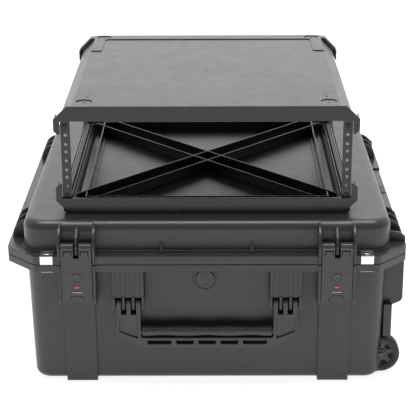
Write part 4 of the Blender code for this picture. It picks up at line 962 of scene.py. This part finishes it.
def lid_fins():
    bodies = []
    low = LID_FLANGE[0] + 0.5
    side_fin = [(305, 234), (331, 234)] + arc((305, 240), 26, 0, 90, 9, 28 / 26)
    guard = fillet([(305, low), (FLANGE_X, low, 0.5), (FLANGE_X, 245, 4), (326, 252, 6), (305, 256)], 1, 4)
    gusset = fillet([(-305, 259), (-308.5, 257, 2), (-319, 240, 2), (-319, 234), (-305, 234)], 1, 3)
    for s in SIDES:
        bodies += [fin_at(s * 75, gusset, "X", 0.9), fin_at(s * GUARD_Y, guard, "Y", 1)]
        bodies += [fin_at(s * y, flipped(side_fin, end), "Y", 1.8, 3) for y in END_FIN_Y for end in SIDES]
    return bodies


def lid_shell():
    inner = rounded_square(LID_HALF - 2.5, CORNER - 2.5, 12)
    bodies = [tub(lid_section(), LID_HALF),
              prism(flange_outline(LID_FLANGE_BACK, NOTCH_Y), *LID_FLANGE, "Z", 0.9, [inner]),
              square_ring([(-1, 235), (3.4, 235), (3.4, 238.6), (2.6, 239.4), (-1, 239.4)], LID_HALF, CORNER)]
    for s in SIDES:
        bodies += latch_bay(s) + [knuckle(s * LATCH_X, -10.4, 10.4, 1)]
    piece("case_lid", bodies + lid_fins(), SHELL, "lid", ["lid_shell"])


def chamfered(half, cut):
    """Square outline about the origin with its corners cut."""
    near = half - cut
    return [(half, -near), (half, near), (near, half), (-near, half), (-half, near), (-half, -near),
            (-near, -half), (near, -half)]


def bay_outline(half_x, half_y):
    """The bay that takes the cage, with a half-round finger scoop in each side."""
    loop = []
    for sx, sy, corner in ((1, 0, (half_x, -half_y)), (0, 1, (half_x, half_y)),
                           (-1, 0, (-half_x, half_y)), (0, -1, (-half_x, -half_y))):
        start = math.degrees(math.atan2(sy, sx)) - 90
        loop += [corner] + arc((sx * half_x, sy * half_y), SCOOP_R, start, start + 180, 12)
    return loop


def egg_crate(half, low, high, crown):
    """Foam pad with a smooth back and a face of rounded peaks."""
    bm = bmesh.new()
    step = 2 * half / PEAK_CELLS
    row = PEAK_CELLS + 1
    layers = []
    for is_back in (False, True):
        layer = []
        for i in range(row):
            for j in range(row):
                x, y = -half + i * step, -half + j * step
                fade = min((half - max(abs(x), abs(y))) / PEAK_PITCH, 1)
                wave = fade * math.cos(math.pi * x / PEAK_PITCH) * math.cos(math.pi * y / PEAK_PITCH)
                layer.append(bm.verts.new((x, y, high if is_back else low + crown * (1 - wave))))
        for a in (i * row + j for i in range(PEAK_CELLS) for j in range(PEAK_CELLS)):
            bm.faces.new([layer[a], layer[a + row], layer[a + row + 1], layer[a + 1]])
        layers.append(layer)
    rim = [i * row for i in range(row)] + [PEAK_CELLS * row + j for j in range(1, row)]
    rim += [i * row + PEAK_CELLS for i in range(PEAK_CELLS - 1, -1, -1)] + list(range(PEAK_CELLS - 1, 0, -1))
    for a, b in zip(rim, rim[1:] + rim[:1]):
        bm.faces.new([layers[0][a], layers[0][b], layers[1][b], layers[1][a]])
    bmesh.ops.recalc_face_normals(bm, faces=bm.faces)
    return bm


def foam_slab(half, low, high, width):
    """Square foam slab with cut and rounded corners."""
    return prism(fillet(chamfered(half, FOAM_CUT), 8, 4), low, high, "Z", width)


def gasket_and_foam():
    """Soft seal in the rim, and the foam that lines both shells."""
    low, high = box_mm("base_foam")
    wall = pierced([fillet(chamfered(high.x, FOAM_CUT), 8, 4), bay_outline(*BAY)], BAY_FLOOR - 3, high.z,
                   AXES["Z"], 3)
    wells = [block((POCKET_X - 7, s * (POCKET_Y[0] - 7), -9), (300, s * 300, POCKET_TOP + 6), 4, 3)
             for s in SIDES]
    liner = boolean(wall, [foam_slab(high.x - 19, low.z, BAY_FLOOR, 2)], "UNION")
    liner = piece("foam_liner_base", [boolean(liner, wells)], FOAM, "base", ["base_foam"])
    low, high = box_mm("lid_foam")
    pad = boolean(egg_crate(high.x, low.z, high.z, 3.5),
                  [foam_slab(high.x - 0.4, low.z - 5, high.z + 5, 0)], "INTERSECT")
    piece("foam_liner_lid", [pad], FOAM, "lid", ["lid_foam"])
    ring = square_ring([(4.4, SEAM_Z - 0.3), (6, SEAM_Z - 0.4), (7.6, SEAM_Z - 0.3), (7.8, 224), (7.4, 225.6),
                        (4.6, 225.6), (4.2, 224)], LID_HALF, CORNER)
    piece("rim_gasket", [ring], RUBBER, "lid", ["gasket"])


# ---- latches and fittings ----

LATCH_LOW, LATCH_HIGH = box_mm("latch_left")
LATCH_HALF = (LATCH_HIGH.x - LATCH_LOW.x) / 2
LATCH_FACE = -LATCH_LOW.y
LATCH_TOP, LATCH_BOTTOM = LATCH_HIGH.z, LATCH_LOW.z
LATCH_BACK = 329
LOCK_Z = 200
DOT_Z = 184
PLATE_Z = 174.5


def slot_loop(x, z, half, r, steps=10):
    """Round-ended slot outline."""
    return arc((x + half - r, z), r, -90, 90, steps) + arc((x - half + r, z), r, 90, 270, steps)


def slot_body(z, half, r, levels):
    """Round-ended body: levels holds (y, how far its outline is drawn in there)."""
    return lofted([[(u, y, v) for u, v in slot_loop(0, z, half - k, r - k)] for y, k in levels])


def latch(side):
    """Latch cover with its slots, lock seat, indicator seat and trigger bay, the slots and the badge's seat
    darkened with painted shade.
    """
    label = LABELS[side]
    front, back, low, high = -LATCH_FACE, -LATCH_BACK, LATCH_BOTTOM, 240
    outline = mirrored([(9.5, 168, 2), (14.5, low, 1.5), (LATCH_HALF, low, 2), (LATCH_HALF, high, 1),
                        (4.6, high, 0.5), (4.6, 234.5, 4.4)])
    holes = [circle((0, LOCK_Z), 6.6, 32), slot_loop(0, DOT_Z, 4.5, 2.3)]
    core = mirrored([(9.8, 168.5), (14.8, low + 1), (LATCH_HALF - 0.6, low + 1), (LATCH_HALF - 0.6, 238),
                     (4.8, 238), (4.8, 234)])
    hook = [(back + 0.5, 208.4), (-311, 208.4), (-311, 205), (back + 0.5, 199)]
    shoulder = fillet([(back + 1, 236), (front, 236, 1.5), (front, 250.5, 1), (front + 1.6, 251.2, 1),
                       (front + 1.2, 253, 2), (front + 4.2, LATCH_TOP, 4.5), (-321.5, LATCH_TOP, 4),
                       (-318.5, 250, 4), (-321.5, 241.5, 3), (back + 1, 238)], 1, 6)
    cover = [prism(fillet(outline, 1, 4), back - 2.5, front + 0.6, "Y", 0.5, holes),
             prism(core, back, front + 3.4, "Y", 0.4), prism(hook, 1 - LATCH_HALF, LATCH_HALF - 1, "X", 0.4),
             block((-LATCH_HALF + 4, front + 0.25, 209.6), (LATCH_HALF - 4, front + 1.5, 208.6), 0.2),
             lathe([(0, 7.9), (0.5, 7.8), (0.8, 7.4), (0.8, 6.5), (-3, 6.4)], (0, front + 0.7, LOCK_Z), OUT,
                   36)]
    # Near-black blocks in the slots and the badge's seat are painted shade; the three dots above the lock are
    # dark marks.
    marks = [slot_body(PLATE_Z, 9.8, 1.9, ((front + 1, 0), (front + 0.4, 0)))]
    for s in SIDES:
        cover += [block((s * LATCH_HALF, front, low + 2.5), (s * (LATCH_HALF - 3.2), back, 238), 0.8),
                  prism(shoulder, s * 4.6, s * LATCH_HALF, "X", 0.9, segments=3)]
        marks.append(block((s * 6.5, front - 0.05, 246.2), (s * (LATCH_HALF - 4.5), front + 2, 249.6), 0.5))
        for x_in, x_out in ((6.5, 8.4), (LATCH_HALF - 6.6, LATCH_HALF - 4.5)):
            marks.append(block((s * x_in, front - 0.05, 238.5), (s * x_out, front + 2, 249), 0.4))
    for dx, dz in ((-4.6, 6.4), (0, 8), (4.6, 6.4)):
        marks.append(lathe([(0, 1), (0.35, 0.9)], (dx, front + 0.75, LOCK_Z + dz), OUT, 14))
    seat = (0, -333.4, LOCK_Z)
    barrel = lathe([(0, 5.5), (2.6, 5.5), (3, 5.1), (3, 3.8), (1.4, 3.4), (1.2, 0.5)], seat, OUT, 32)
    # Near-black disc painted in the lock's core as the shade in its keyway.
    keyway_shade = lathe([(0.8, 3.3), (2, 3.1), (2.1, 2.6), (1.2, 0.6)], seat, OUT, 24)
    lens = slot_body(DOT_Z, 4.2, 2, ((-334.8, 0), (front - 0.1, 0), (front - 0.5, 0.5), (front - 0.65, 1.2)))
    badge = slot_body(PLATE_Z, 8.6, 0.9, ((front + 1, 0), (front + 0.25, 0), (front + 0.1, 0.2)))
    tab = prism(fillet(mirrored([(13.2, 155.4, 1.5), (9.2, 166.6, 1.5)]), 1, 4), -334, -329.6, "Y", 1.2,
                segments=3)
    body, lock, trigger = ("%s_%s" % (part, label) for part in ("latch", "lock", "trigger"))
    shift = Matrix.Translation((side * LATCH_X, 0, 0))
    for name, meshes, material, rides_on, nodes, slot in (
            ("latch_cover_", cover, LATCH, body, [body], None),
            ("latch_slot_shade_and_marks_", marks, SHADE_AND_MARK_BLACK, body, (), "latch_plastic"),
            ("lock_barrel_", [barrel], LOCK_METAL, lock, ["lock_plug_" + label], "bright_steel"),
            ("lock_keyway_shade_", [keyway_shade], SHADE_AND_MARK_BLACK, lock, (), "bright_steel"),
            ("indicator_lens_", [lens], RED, body, ["lock_indicator_" + label], None),
            ("blank_badge_", [badge], LABEL, body, (), "latch_plastic"),
            ("release_trigger_", [tab], LATCH, trigger, [trigger], None)):
        piece(name + label, [placed(bm, shift) for bm in meshes], material, rides_on, nodes)


def padlock_plates():
    """Folded steel plates with a formed hole, on both flanges; the lid's hole is lined with painted shade."""
    for side in SIDES:
        for part, sign in (("lid", 1), ("base", -1)):
            node = "padlock_plate_%s_%s" % (part, LABELS[side])
            low, high = box_mm(node)
            x0, x1 = low.x, high.x
            x = mid(x0, x1)
            if part == "lid":
                face, front = high.z, low.y
                fold = block((x0, low.y, low.z), (x1, low.y + PLATE_T, high.z), 0.35)
                # Near-black tube painted inside the lid's padlock hole as its shade.
                hole_shade = lathe([(-0.8, PADLOCK_R - 0.1), (-0.8, HOLE_SHADE_R), (-14, HOLE_SHADE_R),
                                (-14, PADLOCK_R - 0.1)], (x, -PADLOCK_Y, face), UP, 32, ring=True)
                piece("padlock_eyelet_" + LABELS[side], [hole_shade], SHADE_AND_MARK_BLACK, part)
            else:
                face, front = low.z, low.y + 6
                fold = block((x0, high.y - PLATE_T, low.z), (x1, high.y, low.z + 4), 0.35)
            outline = [(x0, front), (x1, front), (x1, high.y, 2), (x0, high.y, 2)]
            flat = prism(fillet(outline, 0.4, 3), face - sign * PLATE_T, face, "Z", 0.35,
                         [circle((x, -PADLOCK_Y), PADLOCK_R, 32)])
            rim = [(-0.4, 1.1), (0.5, 0.9), (0.7, 0.6), (0.5, 0.1), (-1.2, 0)]
            rim = lathe([(t, PADLOCK_R + r) for t, r in rim], (x, -PADLOCK_Y, face), (0, 0, sign), 32,
                        ring=True)
            piece("steel_" + node, [flat, fold, rim], STEEL, part, [node])


def valve():
    """Pressure valve: a stepped disc with a ring and two raised bars."""
    disc = lathe([(0, 16.2), (1.8, 16.2), (2.8, 15.4), (3, 13), (2.8, 12.7), (2.8, 7), (3.1, 6.6), (3.3, 1)],
                 (VALVE_X, VALVE_Y + 2.4, VALVE_Z), OUT, 56)
    stem = rod((VALVE_X, -304.5, VALVE_Z), (VALVE_X, -291.8, VALVE_Z), 7.5)
    bars = [block((VALVE_X - 6.5, VALVE_Y - 1.1, z - 0.5), (VALVE_X + 6.5, VALVE_Y + 0.5, z + 0.5), 0.3)
            for z in (VALVE_Z + 9.4, VALVE_Z - 9.4)]
    piece("valve_disc", [disc, stem] + bars, LATCH, "base", ["pressure_valve"])


# ---- handles ----

def handle(name, spec):
    """Folding handle: webbed arms, a windowed lower rail and a ribbed grip."""
    lugs = lug_spans(spec)
    spans = [(a[1] + KNUCKLE_GAP, b[0] - KNUCKLE_GAP) for a, b in zip(lugs, lugs[1:])]
    outer, inner = spans[-1][1], spans[0][0]
    r, pin_y, pin_z = spec["radius"], spec["pin_y"], spec["pin_z"]
    front, back = -pin_y - r, -pin_y + r
    shoulder, bottom, corner_z = spec["shoulder_z"], spec["bottom_z"], spec["corner_z"]
    grip_z, grip_r = spec["grip_z"], spec["grip_r"]
    rail_top = grip_z - grip_r - 0.8
    outline = fillet(mirrored([(spec["corner_x"], bottom, 8), (outer, corner_z, 3), (outer, shoulder, 1),
                               (inner, shoulder, 1), (inner, rail_top, 3)]), 1, 5)
    windows = rail_windows(spec, bottom + 6, rail_top - 3.4)
    pockets = [flipped(pocket(spec, inner, outer), s) for s in SIDES]
    web = [(inner + 2, corner_z - 8), (outer - 2, corner_z + 4), (outer - 2, shoulder - 3),
           (inner + 2, shoulder - 3)]
    knuckle_loop = [(back, shoulder - 3), (back, pin_z), *arc((-pin_y, pin_z), r, 0, 180, 14)[1:-1],
                    (front, pin_z), (front, shoulder - 3)]
    knuckle_loop = [(y + 0.12, z) for y, z in knuckle_loop]
    bodies = [prism(outline, front, back, "Y", 0.9, windows + pockets),
              rod((-inner - 3, -pin_y, grip_z), (inner + 3, -pin_y, grip_z), grip_r - 3.6)]
    knuckle_gap_shade = []
    for s in SIDES:
        bodies.append(prism(flipped(web, s), front + 3.2, back - 2, "Y", 0))
        for span in spans:
            bodies.append(prism(knuckle_loop, s * span[0], s * span[1], "X", 0.5))
            # Near-black rings at the knuckles' ends, painted as the shade in the gaps beside them.
            knuckle_gap_shade += [lathe([(-0.2, 2.4), (-0.2, r - 0.5), (KNUCKLE_GAP - 0.2, r - 0.5),
                               (KNUCKLE_GAP - 0.2, 2.4)], (s * x, -pin_y + 0.6, pin_z), (s * away, 0, 0),
                              28, ring=True) for x, away in zip(span, SIDES)]
    grip = grip_sleeve(spec, grip_r)
    body = name + "_handle"
    for part, bodies, material, node in (("_arms", bodies, LATCH, [body + "_frame"]),
                                         ("_knuckle_gap_shade", knuckle_gap_shade, SHADE_AND_MARK_BLACK, ()),
                                         ("_sleeve", [grip], RUBBER, [body + "_grip"])):
        piece(body + part, [turned(bm, spec["turn"]) for bm in bodies], material, body, node)


def pocket(spec, inner, outer):
    """Recess in an arm's face: straight sides and a slanting foot."""
    rim = 3.4
    return fillet([(inner + rim + 1.6, spec["shoulder_z"] - 6), (outer - rim, spec["shoulder_z"] - 6),
                   (outer - rim, spec["corner_z"] + 4), (inner + rim + 1.6, spec["corner_z"] - 9)], 1.2, 3)


def rail_windows(spec, low, high):
    """Round-ended windows along the lower rail, the two end ones longer."""
    total = spec["corner_x"] - 6
    wide, narrow, gap = 0.37 * total, 0.27 * total, 0.075 * total
    windows = []
    x = -(1.5 * narrow + gap + wide + gap)
    for width in (wide, narrow, narrow, narrow, wide):
        windows.append(fillet(rect(x, low, x + width, high), 2.6, 4))
        x += width + gap
    return windows


def grip_sleeve(spec, r):
    """Sleeve with three swells and fine rings, turned about the handle's bar."""
    half = spec["grip_half"]
    profile = [(0, r - 3.4), (0, r - 1.6), (0.8, r - 0.9)]
    rings = int(2 * half / 4.6)
    for i in range(1, rings * 4):
        t = i / (rings * 4)
        along = 2 * half * t
        swell = 0.7 * math.cos(6 * math.pi * t) - 0.7
        groove = -0.7 if i % 4 == 0 else 0
        profile.append((along, r + swell + groove))
    profile += [(2 * half - 0.8, r - 0.9), (2 * half, r - 1.6), (2 * half, r - 3.4)]
    return lathe(profile, (-half, -spec["pin_y"], spec["grip_z"]), (1, 0, 0), 36)


# ---- wheels and tow handle ----

WHEEL_X, WHEEL_Z = 300.5, 30
WHEEL_Y = (252, 278)
WHEEL_R = 32.5
HUB_R = 24.7
AXLE_START = 218
HUB_WINDOWS = 6
TYRE_GROOVES = 4
TOW_X, TOW_Y = 326, 92


def wheel(side):
    """Grooved tyre, spoked hub whose windows are near-black plates painted as shade, and the stub axle's
    bolt.
    """
    row = ROWS[side]
    inner = side * WHEEL_Y[0]
    at = (WHEEL_X, inner, WHEEL_Z)
    away = (0, side, 0)
    width = WHEEL_Y[1] - WHEEL_Y[0]
    edge = [(0, HUB_R + 0.3), (0, WHEEL_R - 3.5), (0.8, WHEEL_R - 1.6), (2.6, WHEEL_R - 0.2)]
    grooves = []
    for k in range(TYRE_GROOVES):
        a = 4.6 + k * (width - 9.2) / (TYRE_GROOVES - 1)
        grooves += [(a + da, WHEEL_R - dr) for da, dr in ((-0.9, 0), (-0.5, 0.9), (0.5, 0.9), (0.9, 0))]
    tyre = lathe(edge + grooves + [(width - a, r) for a, r in edge[::-1]], at, away, 64, ring=True)
    piece("tyre_" + row, [tyre], TYRE, "wheel_" + row, ["wheel_tyre_" + row])

    face = width - 1.4
    hub = lathe([(2, 4.3), (2, HUB_R), (face - 0.5, HUB_R), (face, HUB_R - 0.6), (face, HUB_R - 2.2),
                 (face - 2.6, HUB_R - 3), (face - 2.6, 10.2), (face - 0.4, 9.4), (face, 8.6),
                 (face, 4.3)], at, away, 56, ring=True)
    # The windows are near-black plates behind the hub's face, painted as the shade seen through its holes.
    windows = []
    centre = (WHEEL_X, WHEEL_Z)
    for i in range(HUB_WINDOWS):
        a = 360 / HUB_WINDOWS * i - 32
        loop = arc(centre, HUB_R - 3.6, a, a + 40, 8) + arc(centre, 12.6, a + 34, a + 6, 5)
        windows.append(prism(fillet(loop, 1, 2), inner + side * (face - 3.4), inner + side * (face - 2.4),
                             "Y", 0.3))
    piece("hub_" + row, [hub], LATCH, "wheel_" + row, ["wheel_hub_" + row])
    piece("hub_window_shade_" + row, windows, SHADE_AND_MARK_BLACK, "wheel_" + row)
    reach = WHEEL_Y[1] - AXLE_START
    bolt = lathe([(0, 4), (reach, 4), (reach, 5), (reach + 1.6, 5), (reach + 2.4, 4.2), (reach + 2.6, 2.6),
                  (reach + 0.6, 2.4), (reach + 0.6, 0.4)], (WHEEL_X, side * AXLE_START, WHEEL_Z), away, 32)
    piece("axle_bolt_" + row, [bolt], LOCK_METAL, "base", ["wheel_axle_" + row])


def wheel_housing(side):
    """Stub-axle block in the pocket, with the raised channel above the wheel."""
    row = ROWS[side]
    cheek = fillet([(264.3, 1.5, 6), (316, 1.5, 14), (316, 66.5, 4), (264.3, 66.5, 4)], 1, 6)
    foot = WHEEL_Z + WHEEL_R + 2.6
    rail = fillet([(302, foot), (316, foot, 2), (316, 125), (302, 125)], 1, 4)
    bodies = [prism(cheek, side * 215, side * 245.7, "Y", 1),
              prism(rail, side * 215, side * 222, "Y", 0.9), prism(rail, side * 270, side * 277, "Y", 0.9),
              block((302, side * 216, foot + 1), (313.5, side * 276, 121), 1)]
    piece("wheel_bracket_" + row, bodies, SHELL, "base", ["wheel_housing_" + row])


def tow_handle():
    """Chassis plate with its two straps, grip bar and release button."""
    low, high = box_mm("tow_chassis")
    half, z0, z1 = high.y, low.z, high.z
    holes = [fillet(rect(a, 74, b, 176), 4, 4) for a, b in ((-66, -36), (36, 66), (-26, 26))]
    bodies = [prism(fillet(rect(-half, z0, half, z1), 6, 5), 304.2, 312, "X", 0.8, holes)]
    for a, b, bottom in ((z0, z0 + 24, z0 + 5.5), (z1 - 18, z1, z1 - 20)):
        strap = prism(fillet(rect(-half, a + 0.2, half, b - 0.2), 4, 4), 306, FLANGE_X, "X", 1.2, segments=3)
        bodies.append(boolean(strap, [rod((TOW_X, s * TOW_Y, bottom), (TOW_X, s * TOW_Y, b + 2), 9.35, 36, 0)
                                      for s in SIDES]))
    piece("tow_frame", bodies, SHELL, "base", ["tow_chassis"])

    low, high = box_mm("tow_grip")
    half_x, half_y = (high.x - low.x) / 2, high.y
    loops = []
    for z, step in ((212, 1.6), (212.5, 0.6), (213.6, 0), (228, 0), (231.5, 0.8), (233.4, 2.4), (234, 4)):
        ring = fillet(rect(step - half_x, step - half_y, half_x - step, half_y - step), 7 - step, 6)
        loops.append([(mid(low.x, high.x) + u, v, z) for u, v in ring])
    recess = block((TOW_X - 5.5, -20, 219), (TOW_X + 5.5, 20, 240), 0.3)
    piece("tow_grip_bar", [boolean(lofted(loops), [recess])], LATCH, "tow_grip", ["tow_grip"])
    cap = prism(fillet(rect(TOW_X - 5, -19.4, TOW_X + 5, 19.4), 3.5, 5), 226, 235.6, "Z", 1.2, segments=3)
    dots = [rod((TOW_X, y, 235), (TOW_X, y, 236), 2, 16, 0.3) for y in (-12, -6, 0, 6, 12)]
    piece("tow_release", [cap] + dots, RUBBER, "tow_button", ["tow_button"])


dress_cad_nodes()
studio()
top_tray()
bottom_tray()
rack_rails()
base_shell()
lid_shell()
gasket_and_foam()
for side in SIDES:
    latch(side)
    wheel(side)
    wheel_housing(side)
padlock_plates()
valve()
handle("front", FRONT_HANDLE)
handle("side", SIDE_HANDLE)
tow_handle()
